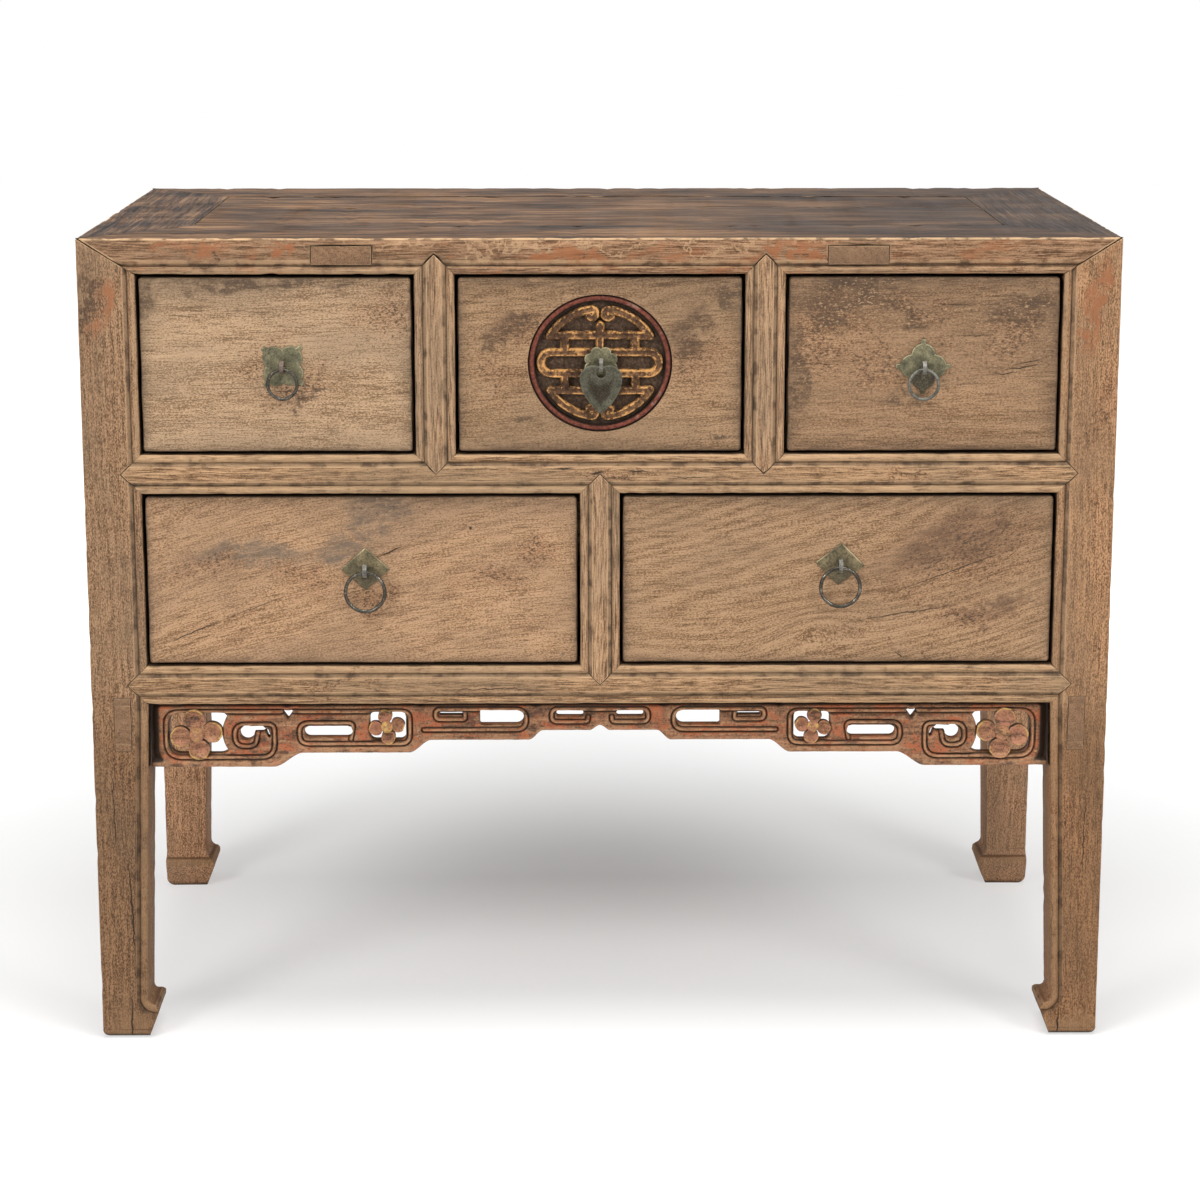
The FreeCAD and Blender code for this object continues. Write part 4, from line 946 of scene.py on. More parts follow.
class Relief:
    """Carved panel facing the front: an outline cut by holes, a height for each point, and a flat back."""

    def __init__(self, columns: Array, rows: Array) -> None:
        """Keeps the grid lines along X and Z.

        Args:
            columns: Grid lines along X.
            rows: Grid lines along Z.
        """
        self.columns = columns
        self.rows = rows
        self.grid_x, self.grid_z = np.meshgrid(columns, rows, indexing="ij")
        self.points: list[Triple] = []
        self.faces: list[tuple[int, ...]] = []

    @classmethod
    def over(cls, low: Vector, high: Vector, before: float, after: float, step: float) -> "Relief":
        """Even grid over a box, from a little before it to a little after it."""
        return cls(np.arange(low.x - before, high.x + after, step), np.arange(low.z - before, high.z + after, step))

    def _cells(self, inside: Array) -> tuple[Array, list[list[int]], list[Pair]]:
        """Cuts the grid along a field's zero line.

        Args:
            inside: The field on the grid, positive where there is wood or metal.

        Returns:
            The points, the polygons that turn to the front, and the cut edges with the inside on their left.
        """
        up = inside.shape[1]
        keep = inside > 0.0
        points = list(np.stack([self.grid_x.ravel(), self.grid_z.ravel()], axis=1))
        crossings: dict[tuple[int, int], int] = {}
        polygons: list[list[int]] = []
        borders: list[Pair] = []
        flat = inside.ravel()

        def crossing(first: int, second: int) -> int:
            """Number of the point where the zero line cuts a grid edge.

            Args:
                first: Number of a grid point.
                second: Number of the point beside it.

            Returns:
                The point's number.
            """
            key = (min(first, second), max(first, second))
            if key not in crossings:
                share = float(np.clip(flat[key[0]] / (flat[key[0]] - flat[key[1]]), 0.06, 0.94))
                crossings[key] = len(points)
                points.append(points[key[0]] * (1.0 - share) + points[key[1]] * share)
            return crossings[key]

        whole = keep[:-1, :-1].astype(int) + keep[1:, :-1] + keep[1:, 1:] + keep[:-1, 1:]
        for column, row in zip(*np.nonzero(whole)):
            first = column * up + row
            corners = (first, first + up, first + up + 1, first + 1)
            if whole[column, row] == 4:
                polygons.append(list(corners))
                continue
            polygon: list[int] = []
            cut: list[bool] = []
            for start, end in zip(corners, corners[1:] + corners[:1]):
                if flat[start] > 0.0:
                    polygon.append(start)
                    cut.append(False)
                if (flat[start] > 0.0) != (flat[end] > 0.0):
                    polygon.append(crossing(start, end))
                    cut.append(True)
            polygons.append(polygon)
            for number, is_cut in enumerate(cut):
                following = (number + 1) % len(cut)
                if is_cut and cut[following] and flat[polygon[number - 1]] > 0.0:
                    borders.append((polygon[number], polygon[following]))
        return np.array(points), polygons, borders

    def build(self, inside: Field, height: Field, front: float, back: float,
              sunk: tuple[Field, float] | None = None) -> Mesh:
        """Makes the panel's mesh.

        Args:
            inside: Field that is positive where the panel is.
            height: How far each point stands out of the front plane.
            front: The front plane along Y.
            back: The back plane along Y.
            sunk: A second field and a depth, for a blind recess in the front.

        Returns:
            The closed mesh, in metres.
        """
        whole = inside(self.grid_x, self.grid_z)
        face = whole
        if sunk is not None:
            well = sunk[0](self.grid_x, self.grid_z)
            face = np.minimum(whole, -well)
        points, polygons, borders = self._cells(face)
        level = front - height(points[:, 0], points[:, 1])
        top = self._lay(points, level, polygons, False)
        floor = np.full(len(points), back)
        if sunk is not None:
            in_well = sunk[0](points[:, 0], points[:, 1])
            floor = np.where(np.abs(in_well) < 0.5, front + sunk[1], back)
        base = self._lay(points, floor, [], False)
        for start, end in borders:
            self.faces.append((top + end, top + start, base + start, base + end))
        if sunk is not None:
            points, polygons, borders = self._cells(well)
            self._lay(points, np.full(len(points), front + sunk[1]), polygons, False)
        points, polygons, borders = self._cells(whole)
        self._lay(points, np.full(len(points), back), polygons, True)
        return self._mesh()

    def _lay(self, points: Array, level: Array, polygons: list[list[int]], turned: bool) -> int:
        """Adds points at a level, with polygons on them, and gives the first point's number.

        Args:
            points: Places along X and Z.
            level: Place of each point along Y.
            polygons: Polygons on the points.
            turned: Whether the polygons face backwards.

        Returns:
            The first point's number.
        """
        first = len(self.points)
        self.points.extend(zip(points[:, 0], level, points[:, 1]))
        for polygon in polygons:
            ring = polygon[::-1] if turned else polygon
            self.faces.append(tuple(first + corner for corner in ring))
        return first

    def _mesh(self) -> Mesh:
        """Merges the layers into one closed mesh.

        Returns:
            The mesh, in metres.
        """
        mesh = bpy.data.meshes.new("relief")
        mesh.from_pydata((np.array(self.points) * MM).tolist(), [], self.faces)
        shape = bmesh.new()
        shape.from_mesh(mesh)
        loose = [vert for vert in shape.verts if not vert.link_faces]
        bmesh.ops.delete(shape, geom=loose, context="VERTS")
        bmesh.ops.remove_doubles(shape, verts=shape.verts[:], dist=MERGE)
        shape.to_mesh(mesh)
        shape.free()
        return mesh


def mark_points(mesh: Mesh, name: str, value: Callable[[Array, Array, Array], Array]) -> None:
    """Writes a number on each point of a mesh.

    Args:
        mesh: The mesh.
        name: Name of the attribute.
        value: The number for places along X, Y and Z in millimetres.
    """
    places = np.zeros(len(mesh.vertices) * 3, np.float32)
    mesh.vertices.foreach_get("co", places)
    result = value(*(places.reshape(-1, 3).astype(float) / MM).T)
    attribute = mesh.attributes.new(name, "FLOAT", "POINT")
    attribute.data.foreach_set("value", result.astype(np.float32))


@dataclass(frozen=True)
class Wear:
    """How use has worn a member: rubbed arrises, chips and a gentle wave, cut into slices to take them; the rubbed
    arrises and bead crowns also stand for a painted highlight, the grooves for painted shade.
    """

    arris: float = 0.9
    slice: float = 10.0
    wave: float = 0.35
    chip: float = 0.9
    crisp: float = 34.0
    fold: float = 20.0
    shortest: float = 5.0
    groove: float = 6.0
    soft: float = 6.0
    dull: float = 0.3
    crown: float = 0.55
    joint: float = 0.0
    edge_reach: float = 3.0
    wave_length: float = 34.0
    chip_lengths: Pair = (7.0, 2.6)
    chip_from: float = 0.15
    chip_gain: float = 1.6
    seed: float = 0.0

    def copy_of(self, node: str) -> Mesh:
        """Worn copy of a CAD node, each of its solids worn by itself.

        Args:
            node: The node's name.

        Returns:
            The mesh, in the node's place.
        """
        mesh = merged([self._worn(shell) for shell in shells_of(node)])
        low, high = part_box(node)
        places = np.zeros(len(mesh.vertices) * 3, np.float32)
        mesh.vertices.foreach_get("co", places)
        held = np.clip(places.reshape(-1, 3), np.array(low), np.array(high))
        mesh.vertices.foreach_set("co", held.astype(np.float32).ravel())
        mesh.update()
        return mesh

    def _worn(self, mesh: Mesh) -> Mesh:
        """Rubs one closed shell, whose faces carry its arrises and its narrow grooves.

        Args:
            mesh: The shell.

        Returns:
            The same mesh, worn.
        """
        shape = bmesh.new()
        shape.from_mesh(mesh)
        bmesh.ops.dissolve_limit(shape, angle_limit=math.radians(0.5), use_dissolve_boundaries=False,
                                 verts=shape.verts[:], edges=shape.edges[:])
        rubbed = shape.faces.layers.float.new("arris")
        if self.joint:
            joints = [edge for edge in shape.edges if self._is_arris(edge) and not self._is_outer(edge)]
            self._ease(shape, joints, self.joint)
        arrises = [edge for edge in shape.edges if self._is_arris(edge) and (not self.joint or self._is_outer(edge))]
        for face in self._ease(shape, arrises, self.arris):
            face[rubbed] = 1.0
        self._mark_folds(shape, rubbed, shape.faces.layers.float.new("crease"))
        self._slice(shape)
        self._rub(shape, rubbed)
        bmesh.ops.triangulate(shape, faces=[face for face in shape.faces if len(face.verts) > 4])
        shape.to_mesh(mesh)
        shape.free()
        return mesh

    def _mark_folds(self, shape: Shape, rubbed: Any, crease: Any) -> None:
        """Marks narrow faces dark in a groove, dirt and painted shade, and lightly rubbed on a bead, wear and a painted
        highlight, and dulls the arrises of a groove.

        Args:
            shape: The member.
            rubbed: Face layer of the rubbed arrises.
            crease: Face layer of the grooves.
        """
        crowns = set()
        for edge in shape.edges:
            turn = edge.calc_face_angle() if edge.is_manifold else 0.0
            for face in edge.link_faces if turn > math.radians(self.soft) else ():
                longest = max(side.calc_length() for side in face.edges)
                if face.calc_area() > self.groove * MM * longest:
                    continue
                if not edge.is_convex and turn > math.radians(self.fold):
                    face[crease] = 1.0
                elif edge.is_convex and turn < math.radians(self.crisp) and edge.calc_length() > 0.5 * longest:
                    crowns.add(face)
        dulled = {face for face in shape.faces if face[crease]}
        for _ in range(2):
            dulled |= {other for face in dulled for edge in face.edges for other in edge.link_faces if other[rubbed]}
        for face in dulled:
            face[rubbed] *= self.dull
        for face in crowns:
            face[rubbed] = max(face[rubbed], self.crown)

    @staticmethod
    def _ease(shape: Shape, edges: list[Edge], width: float) -> list[bmesh.types.BMFace]:
        """Rounds some edges and gives the faces that this makes."""
        return bmesh.ops.bevel(shape, geom=edges, offset=width * MM, offset_type="OFFSET", segments=2, profile=0.5,
                               affect="EDGES", clamp_overlap=False)["faces"]

    def _is_outer(self, edge: Edge) -> bool:
        """Whether an edge lies on one of the four sides of the table.

        Args:
            edge: The edge.

        Returns:
            True if it does.
        """
        low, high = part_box("leg_front_left")[0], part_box("leg_back_right")[1]
        place = (edge.verts[0].co + edge.verts[1].co) / 2.0
        return min(place.x - low.x, high.x - place.x, place.y - low.y, high.y - place.y) < self.edge_reach * MM

    def _is_arris(self, edge: Edge) -> bool:
        """Whether an edge is a long outer corner that hands would rub.

        Args:
            edge: The edge.

        Returns:
            True if it is.
        """
        if not edge.is_manifold or not edge.is_convex or edge.calc_length() < self.shortest * MM:
            return False
        return edge.calc_face_angle() > math.radians(self.crisp)

    def _slice(self, shape: Shape) -> None:
        """Cuts a member across its length, so that its faces can wave.

        Args:
            shape: The member.
        """
        places = np.array([vert.co for vert in shape.verts])
        low, high = places.min(0), places.max(0)
        axis = int(np.argmax(high - low))
        count = int((high[axis] - low[axis]) / (self.slice * MM))
        for number in range(1, count):
            at = Vector(low)
            at[axis] = low[axis] + (high[axis] - low[axis]) * number / count
            across = Vector((0.0, 0.0, 0.0))
            across[axis] = 1.0
            bmesh.ops.bisect_plane(shape, geom=shape.verts[:] + shape.edges[:] + shape.faces[:],
                                   dist=MERGE, plane_co=at, plane_no=across)

    def _rub(self, shape: Shape, rubbed: Any) -> None:
        """Moves points a little way into the wood: a slow wave, and chips on the arrises.

        Args:
            shape: The member.
            rubbed: Face layer of the rubbed arrises.
        """
        shape.normal_update()
        drift = Vector((self.seed, 1.3 * self.seed, 0.7 * self.seed))
        long, short = self.chip_lengths
        moves = []
        for vert in shape.verts:
            place = Vector(vert.co) / MM
            depth = self.wave * (0.5 + 0.5 * noise.noise(place / self.wave_length + drift))
            if any(face[rubbed] > self.crown for face in vert.link_faces):
                bite = noise.noise(place / long + drift) + 0.5 * noise.noise(place / short + drift)
                depth += self.chip * min(1.0, max(0.0, bite - self.chip_from) * self.chip_gain)
            moves.append(vert.normal * depth * MM)
        for vert, move in zip(shape.verts, moves):
            vert.co -= move


def shells_of(node: str) -> list[Mesh]:
    """Splits a CAD node into its solids.

    Args:
        node: The node's name.

    Returns:
        One closed mesh for each solid, with its seams merged.
    """
    shape = bmesh.new()
    shape.from_mesh(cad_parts[node].data)
    twins = bmesh.ops.find_doubles(shape, verts=shape.verts[:], dist=10.0 * MERGE)["targetmap"]
    shape.verts.index_update()
    places = [vert.co[:] for vert in shape.verts]
    shells, faces, half_met = [], [], set()
    for face in shape.faces:
        corners = [twins.get(vert, vert).index for vert in face.verts]
        corners = [corner for number, corner in enumerate(corners) if corner != corners[number - 1]]
        if len(corners) < 3:
            continue
        faces.append(corners)
        for first, second in zip(corners, corners[1:] + corners[:1]):
            half_met ^= {(second, first)} if (second, first) in half_met else {(first, second)}
        if not half_met:
            numbers: dict[int, int] = {}
            faces = [[numbers.setdefault(corner, len(numbers)) for corner in corners] for corners in faces]
            mesh = bpy.data.meshes.new(node)
            mesh.from_pydata([places[number] for number in numbers], [], faces)
            shells.append(mesh)
            faces = []
    shape.free()
    if faces:
        raise ValueError(f"{node} is not closed")
    return shells


def seed_of(name: str) -> float:
    """Steady number for a name, to vary each piece's wear and figure."""
    return float(sum((number + 1) * ord(letter) for number, letter in enumerate(name)) % 97)


@dataclass(frozen=True)
class Carcass:
    """Fixed frame of the table: legs, rails, uprights, panels and top."""

    front_wear: Wear = Wear()
    top_wear: Wear = Wear(arris=2.2, slice=9.0, wave=0.5, chip=1.2, joint=0.3)
    inner_wear: Wear = Wear(slice=30.0, wave=0.2, chip=0.5)
    tenon_wear: Wear = Wear(arris=0.35, slice=30.0, wave=0.1, chip=0.2)
    elm: Elm = Elm(Grain.LENGTHWISE, contrast=0.75, bite=0.8)
    figure_shift: Triple = (31.0, 17.0, 23.0)
    leg_marks: dict[str, tuple[Mark, ...]] = field(default_factory=lambda: {
        "leg_front_left": marks_of({
            WASH: ((-527, 812, 9, 60),),
            FRECKLE: ((-522, 800, 14, 80),),
            LACQUER: ((-509, 810, 12, 34),),
            CRACK: ((-504, 143, 100, 1.3, 92), (-508, 18, 34, 1.5, 88), (-520, 260, 60, 0.9, 91)),
            PALE: ((-505, 2, 60, 40),),
        }),
        "leg_front_right": marks_of({
            LACQUER: ((516, 800, 10, 60),),
            FRECKLE: ((524, 690, 12, 50),),
            CRACK: ((489, 110, 90, 1.2, 91), (498, 12, 24, 1.4, 88), (520, 230, 70, 0.8, 89)),
            PALE: ((505, 2, 60, 40),),
        }),
    })
    rail_marks: dict[str, tuple[Mark, ...]] = field(default_factory=lambda: {
        "top_rail_front": marks_of({
            WASH: ((-376, 838, 96, 4.5),),
            FRECKLE: ((-370, 839, 120, 7), (420, 853, 70, 10)),
            LACQUER: ((-440, 852, 60, 14), (-330, 848, 55, 8), (-60, 850, 160, 10), (210, 846, 130, 7)),
            PALE: ((0, 866, 540, 3),),
        }),
        "middle_rail_front": marks_of({
            CRACK: ((-38, 630, 13, 1.6), (-4, 625, 10, 2, 8), (40, 627, 16, 1.2, -6), (96, 621, 30, 0.9, 2),
                    (-428, 639, 2.6, 2.6), (-417.5, 639, 2.4, 2.4)),
            FRECKLE: ((10, 625, 90, 12), (330, 622, 110, 10)),
        }),
        "bottom_rail_front": marks_of({
            FRECKLE: ((-250, 400, 130, 8),),
            CRACK: ((395, 414, 45, 0.9, -2), (-120, 392, 70, 0.8, 1)),
        }),
    })

    def dress(self) -> None:
        """Builds and dresses every member."""
        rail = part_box("bottom_rail_front")[0].z / MM
        # The back legs' tint of about two is painted light: it lifts wood that stands in shade under the table.
        for node, tint in (("leg_front_left", (0.80, 0.78, 0.77)), ("leg_front_right", (0.98, 0.89, 0.82)),
                           ("leg_back_left", (1.95, 1.95, 2.1)), ("leg_back_right", (1.95, 1.95, 2.1))):
            self._member(node, Grain.UPRIGHT, self.front_wear, "elm", tint=tint, low_tint=(0.72, 0.67, 0.62),
                         low_below=rail, contrast=0.42, fibres=0.8, hairs=1.25, ringed=0.1, gritty=3.2,
                         rubbed=(0.470, 0.300, 0.168),
                         marks=self.leg_marks.get(node, ()))
        for node in ("divider_upper_left", "divider_upper_right", "divider_lower"):
            self._member(node, Grain.UPRIGHT, self.front_wear, "elm", lacquer_share=0.25)
        for node in ("middle_rail_front", "bottom_rail_front"):
            self._member(node, Grain.LENGTHWISE, self.front_wear, "elm", tint=(0.96, 0.95, 0.91),
                         marks=self.rail_marks[node])
        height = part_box("top_rail_front")[1].z / MM
        for node in ("top_rail_front", "top_rail_back"):
            self._member(node, Grain.LENGTHWISE, self.top_wear, "dark_elm", dark_above=height,
                         lacquer_share=0.5, tint=(0.77, 0.73, 0.74), marks=self.rail_marks.get(node, ()))
        for node in ("top_rail_left", "top_rail_right"):
            self._member(node, Grain.BACKWARDS, self.top_wear, "dark_elm", dark_above=height, lacquer_share=0.3,
                         smoke_tint=(0.72, 0.76, 0.84))
        self._member("top_boards", Grain.LENGTHWISE, self.top_wear, "dark_elm",
                     dark_above=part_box("top_boards")[1].z / MM - 1.2)
        for node in ("side_rail_left", "side_rail_right", "tenon_wedges"):
            self._member(node, Grain.BACKWARDS, self.tenon_wear, "elm")
        for node in ("side_panel_left", "side_panel_right"):
            self._member(node, Grain.BACKWARDS, self.inner_wear, "elm", contrast=0.7, fibres=0.9, hairs=1.5, pitch=14.0)
        for node in ("back_rails", "back_panels"):
            self._member(node, Grain.LENGTHWISE, self.inner_wear, "elm", fibres=0.9, hairs=1.5, pitch=13.0)
        for node in ("top_battens", "drawer_runners"):
            self._member(node, Grain.BACKWARDS, self.tenon_wear, "elm")

    def _member(self, node: str, grain: Grain, wear: Wear, slot: str, **changes: Any) -> None:
        """Builds one worn member with its own figure.

        Args:
            node: The CAD node's name.
            grain: Axis of its fibres.
            wear: How it has worn.
            slot: Not used.
            changes: What differs from the plain elm.
        """
        seed = seed_of(node)
        finish = replace(self.elm, grain=grain, offset=tuple(seed * shift for shift in self.figure_shift),
                         pith=(0.0, 120.0 + seed, 30.0 + 0.5 * seed), **changes)
        mesh = replace(wear, seed=seed).copy_of(node)
        hand_over(f"{node}_wood", mesh, finish.material(f"elm_{node}"), "carcass", (node,))


@dataclass(frozen=True)
class DrawerFront:
    """One drawer: its front with the stains of use, and the plain boards of its box."""

    board: ClassVar[Elm] = Elm(
        Grain.LENGTHWISE, dark=(0.205, 0.122, 0.064), middle=(0.415, 0.268, 0.158), light=(0.560, 0.382, 0.242),
        film=(0.330, 0.245, 0.165), film_share=0.4, fibres=0.5, hairs=1.35, gritty=3.0, flecks=0.3, pitch=9.0,
        pith=(0.0, 120.0, 60.0), tilt=2.0, contrast=0.8, freckles=0.35)
    inner: ClassVar[Elm] = Elm(Grain.LENGTHWISE, contrast=0.8, film_share=0.2)
    name: str
    wood: Elm
    # Reach of the painted shade and dirt along the front's edges; the next field stretches it at the top edge, a
    # painted shadow under the rail above.
    rim: float = 9.0
    top_shadow_run: float = 2.2
    ease: float = 3.0
    corner: float = 4.0
    wave: float = 0.35
    step: float = 3.2
    fine: float = 0.8
    crack_depth: float = 1.6
    crack_spread: float = 0.9
    inset: float = 0.9
    sway: float = 0.4
    sway_length: float = 60.0
    wave_length: float = 120.0
    inner_shift: Triple = (13.0, 29.0, 7.0)
    roundel_room: float = 0.15

    def dress(self) -> None:
        """Builds the front and gives the inner boards their finish."""
        node = f"{self.name}_drawer_front"
        low = front_box(node)[0]
        seed = seed_of(self.name)
        pith = tuple(corner + shift for corner, shift in zip(low, self.wood.pith))
        finish = replace(self.wood, pith=pith, bow=(self.wood.bow[0], low.x))
        hand_over(f"{self.name}_drawer_face", self._front(node, seed), finish.material(f"elm_{node}"),
                  f"{self.name}_drawer", (node,))
        for board, grain in (("sides", Grain.BACKWARDS), ("back", Grain.LENGTHWISE), ("bottom", Grain.LENGTHWISE)):
            node = f"{self.name}_drawer_{board}"
            plain = replace(self.inner, grain=grain, offset=tuple(seed * shift for shift in self.inner_shift))
            dress_node(node, plain.material(f"elm_{node}"))

    def _front(self, node: str, seed: float) -> Mesh:
        """Front board with eased edges, a slow wave and its cracks, and a recess if it holds the roundel.

        Args:
            node: The CAD node's name.
            seed: Number that varies the piece.

        Returns:
            The mesh.
        """
        low, high, middle, half = front_box(node)

        def inside(x: Array, z: Array) -> Array:
            """Distance inside the board's slightly worn outline."""
            worn = self.inset + self.sway * ripple(x, z, self.sway_length, seed)
            return -box_distance(x, z, middle, half, self.corner) - worn

        def height(x: Array, z: Array) -> Array:
            """Eased edges, a slow wave and open cracks.

            Args:
                x: Places along X.
                z: Places along Z.

            Returns:
                The height at each place.
            """
            edge = np.clip(1.0 - inside(x, z) / self.ease, 0.0, 1.0)
            level = -self.ease * (1.0 - np.sqrt(1.0 - 0.96 * edge ** 2)) * 0.8
            level += self.wave * 0.5 * (ripple(x, z, self.wave_length, seed + 1.0) - 1.0)
            for mark in self.wood.marks:
                if mark.kind is CRACK:
                    turn = math.radians(mark.lean)
                    run = (mark.wide * math.cos(turn), mark.wide * math.sin(turn))
                    line = [(mark.x - run[0], mark.z - run[1]), (mark.x + run[0], mark.z + run[1])]
                    level -= self.crack_depth * bell(path_distance(x, z, line), 0.0, self.crack_spread + mark.tall)
            return level

        panel = Relief(fine_ended(low.x, high.x, self.step, self.ease + 1.5, self.fine),
                       fine_ended(low.z, high.z, self.step, self.ease + 1.5, self.fine))
        sunk = self._recess() if self.name == "upper_middle" else None
        mesh = panel.build(inside, height, low.y, high.y, sunk)
        # Rim: darker towards the front's edges, dirt and painted shade, and further down from the top edge, a painted
        # shadow under the rail above.
        mark_points(mesh, "rim", lambda x, y, z: np.maximum(
            np.exp(-np.maximum(inside(x, z), 0.0) / self.rim), np.exp(-(high.z - z) / (self.top_shadow_run * self.rim))))
        return mesh

    def _recess(self) -> tuple[Field, float]:
        """Oval recess that the roundel sits in, and its depth.

        Returns:
            The oval's field, and the depth.
        """
        low, high, middle, (wide, tall) = front_box("roundel")
        room = self.roundel_room
        return lambda x, z: oval_field(x, z, middle, (wide + room, tall + room)), high.y - low.y + room


def oval_field(x: Array, z: Array, middle: Pair, half: Pair) -> Array:
    """Distance inside an oval, near enough for a slim band along its edge."""
    return (1.0 - np.hypot((x - middle[0]) / half[0], (z - middle[1]) / half[1])) * (half[0] + half[1]) / 2.0


@dataclass(frozen=True)
class CarvedApron:
    """Pierced apron: four stepped bays each side of the middle, scrolls, slots, thin beads and flowers.

    Its forms are given by their reach from the middle and their drop below the rail.
    """

    bay_ends: Triple = (68.2, 192.0, 333.1)
    drops: tuple[float, ...] = (32.0, 42.5, 56.5, 72.0)
    step_runs: Triple = (15.0, 24.0, 32.0)
    notch_rise: float = 5.5
    notch_run: float = 11.0
    half_span: float = 480.0
    thick: float = 14.0
    grid: float = 0.9
    windows: tuple[tuple[float, float, float, float, float], ...] = (
        (17.4, 46.7, 10.5, 17.0, 2.8),
        (81.3, 120.0, 10.0, 25.7, 7.8),
        (105.0, 128.1, 10.0, 25.7, 2.0),
        (146.4, 171.5, 12.0, 15.5, 1.6),
        (207.2, 245.5, 11.4, 42.5, 6.0),
        (264.2, 316.0, 27.0, 39.6, 6.2),
    )
    end_window: tuple[float, float, float, float, float] = (395.0, 459.6, 12.0, 57.5, 11.0)
    scroll_back: Triple = (369.8, 34.0, 33.5)
    comma: Triple = (377.0, 34.5, 7.8)
    comma_tail: tuple[tuple[float, tuple[Pair, ...]], ...] = (
        (3.2, ((377.0, 30.9), (361.0, 30.6))),
        (1.5, ((361.0, 29.2), (355.6, 31.5), (353.4, 37.5))),
    )
    vees: tuple[tuple[float, float, float, float], ...] = (
        (333.1, 6.4, 10.0, 9.0), (191.8, 4.2, -0.8, 4.6), (66.9, 1.6, -0.8, 2.4))
    beads: tuple[tuple[Triple, ...], ...] = (
        ((339.0, 10.6, 0.0), (463.0, 10.6, 14.0), (463.0, 61.0, 16.0), (347.5, 61.0, 15.0), (347.5, 24.6, 7.0),
         (390.0, 24.6, 11.0), (390.0, 48.8, 11.0), (367.5, 48.8, 8.0), (365.3, 34.0, 0.0)),
        ((266.0, 41.0, 0.0), (262.5, 23.2, 7.0), (321.0, 23.2, 10.0), (321.0, 46.2, 10.0), (203.0, 46.2, 10.0),
         (203.0, 10.6, 8.0), (327.0, 10.6, 0.0)),
        ((144.0, 13.0, 0.0), (143.5, 19.6, 3.0), (175.5, 19.6, 5.0), (175.5, 8.6, 5.0), (78.6, 8.6, 11.0),
         (78.6, 31.0, 11.0), (188.0, 31.0, 0.0)),
        ((12.5, 16.5, 0.0), (13.2, 22.4, 3.0), (51.5, 22.4, 6.0), (51.5, 8.6, 6.0), (0.0, 8.6, 0.0)),
    )
    groove: Triple = (2.9, 2.5, 0.95)
    valley: tuple[float, float, float, float] = (1.5, 4.5, 12.0, 30.0)
    head: Triple = (3.4, 7.5, 1.5)
    cove: tuple[Pair, Pair, float] = ((150.0, 20.0), (316.5, 48.5), 17.0)
    cove_depth: float = 8.0
    cove_run: float = 13.0
    cove_lip: Pair = (63.0, 68.0)
    edge_round: Pair = (5.0, 3.2)
    deepest: float = 9.0
    flowers: tuple[tuple[float, float, float, float], ...] = (
        (227.5, 27.0, 19.5, 6.6),
        (430.5, 35.0, 28.4, 8.4),
    )
    flower_turn: float = 8.0
    boss_rise: float = 4.2
    finish: CarvedLacquer = CarvedLacquer()
    petal_finish: CarvedLacquer = CarvedLacquer(wood=(0.310, 0.138, 0.068), red=(0.470, 0.200, 0.115),
                                                bare=(0.520, 0.275, 0.150), red_share=0.5)

    def dress(self) -> None:
        """Builds both halves of the carved board, and its flowers."""
        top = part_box("bottom_rail_front")[0].z / MM
        low, high = front_box("carved_apron")[:2]
        front = high.y - self.thick
        material = self.finish.material("lacquered_apron")
        for name, hand in (("left", -1.0), ("right", 1.0)):
            ends = sorted((0.0, hand * self.half_span))
            panel = Relief(np.arange(ends[0] - 2.0, ends[1] + 2.9, self.grid),
                           np.arange(low.z - 2.0, top + 2.5, self.grid))
            mesh = panel.build(lambda x, z: np.minimum(self._inside(x, top - z), hand * x),
                               lambda x, z: self._height(x, top - z), front, high.y)
            # The relief share sets the painted shade in the hollows, under the rail and in the holes.
            mark_points(mesh, "relief", lambda x, y, z: self._openness(x, y - front, top - z))
            mark_points(mesh, "rubbed", lambda x, y, z: self._rubbed(x, top - z))
            hand_over(f"carved_apron_{name}", mesh, material, "carcass", ("carved_apron",))
        self._flowers(top, front)

    def _edge(self, x: Array, drop: Array) -> Array:
        """Distance inside the stepped lower edge and the ends.

        Args:
            x: Places along X.
            drop: Drops below the rail.

        Returns:
            The distance at each place.
        """
        reach = np.abs(x)
        lower = self.drops[0] - self.notch_rise * (1.0 - smooth_step(reach, 0.0, self.notch_run))
        for end, run, above, below in zip(self.bay_ends, self.step_runs, self.drops, self.drops[1:]):
            lower = lower + (below - above) * smooth_step(reach, end - run / 2.0, end + run / 2.0)
        return np.minimum(np.minimum(0.82 * (lower - drop), drop + 0.5), self.half_span - reach)

    def _openings(self, x: Array, drop: Array) -> Array:
        """Distance outside the nearest window, slot or scroll.

        Args:
            x: Places along X.
            drop: Drops below the rail.

        Returns:
            The distance at each place.
        """
        reach = np.abs(x)

        def window(x0: float, x1: float, upper: float, lower: float, radius: float) -> Array:
            """Distance outside one window."""
            return box_distance(reach, drop, ((x0 + x1) / 2.0, (upper + lower) / 2.0),
                                ((x1 - x0) / 2.0, (lower - upper) / 2.0), radius)

        x0, z0, radius = self.scroll_back
        back = radius - np.hypot(reach - x0, drop - z0)
        nearest = np.maximum(window(*self.end_window), back)
        for values in self.windows:
            nearest = np.minimum(nearest, window(*values))
        x0, z0, radius = self.comma
        nearest = np.minimum(nearest, np.hypot(reach - x0, drop - z0) - radius)
        for radius, line in self.comma_tail:
            nearest = np.minimum(nearest, path_distance(reach, drop, list(line)) - radius)
        for middle, half, upper, deep in self.vees:
            side = (np.abs(reach - middle) * deep - (upper + deep - drop) * half) / math.hypot(half, deep)
            nearest = np.minimum(nearest, np.maximum(side, upper - drop))
        return nearest

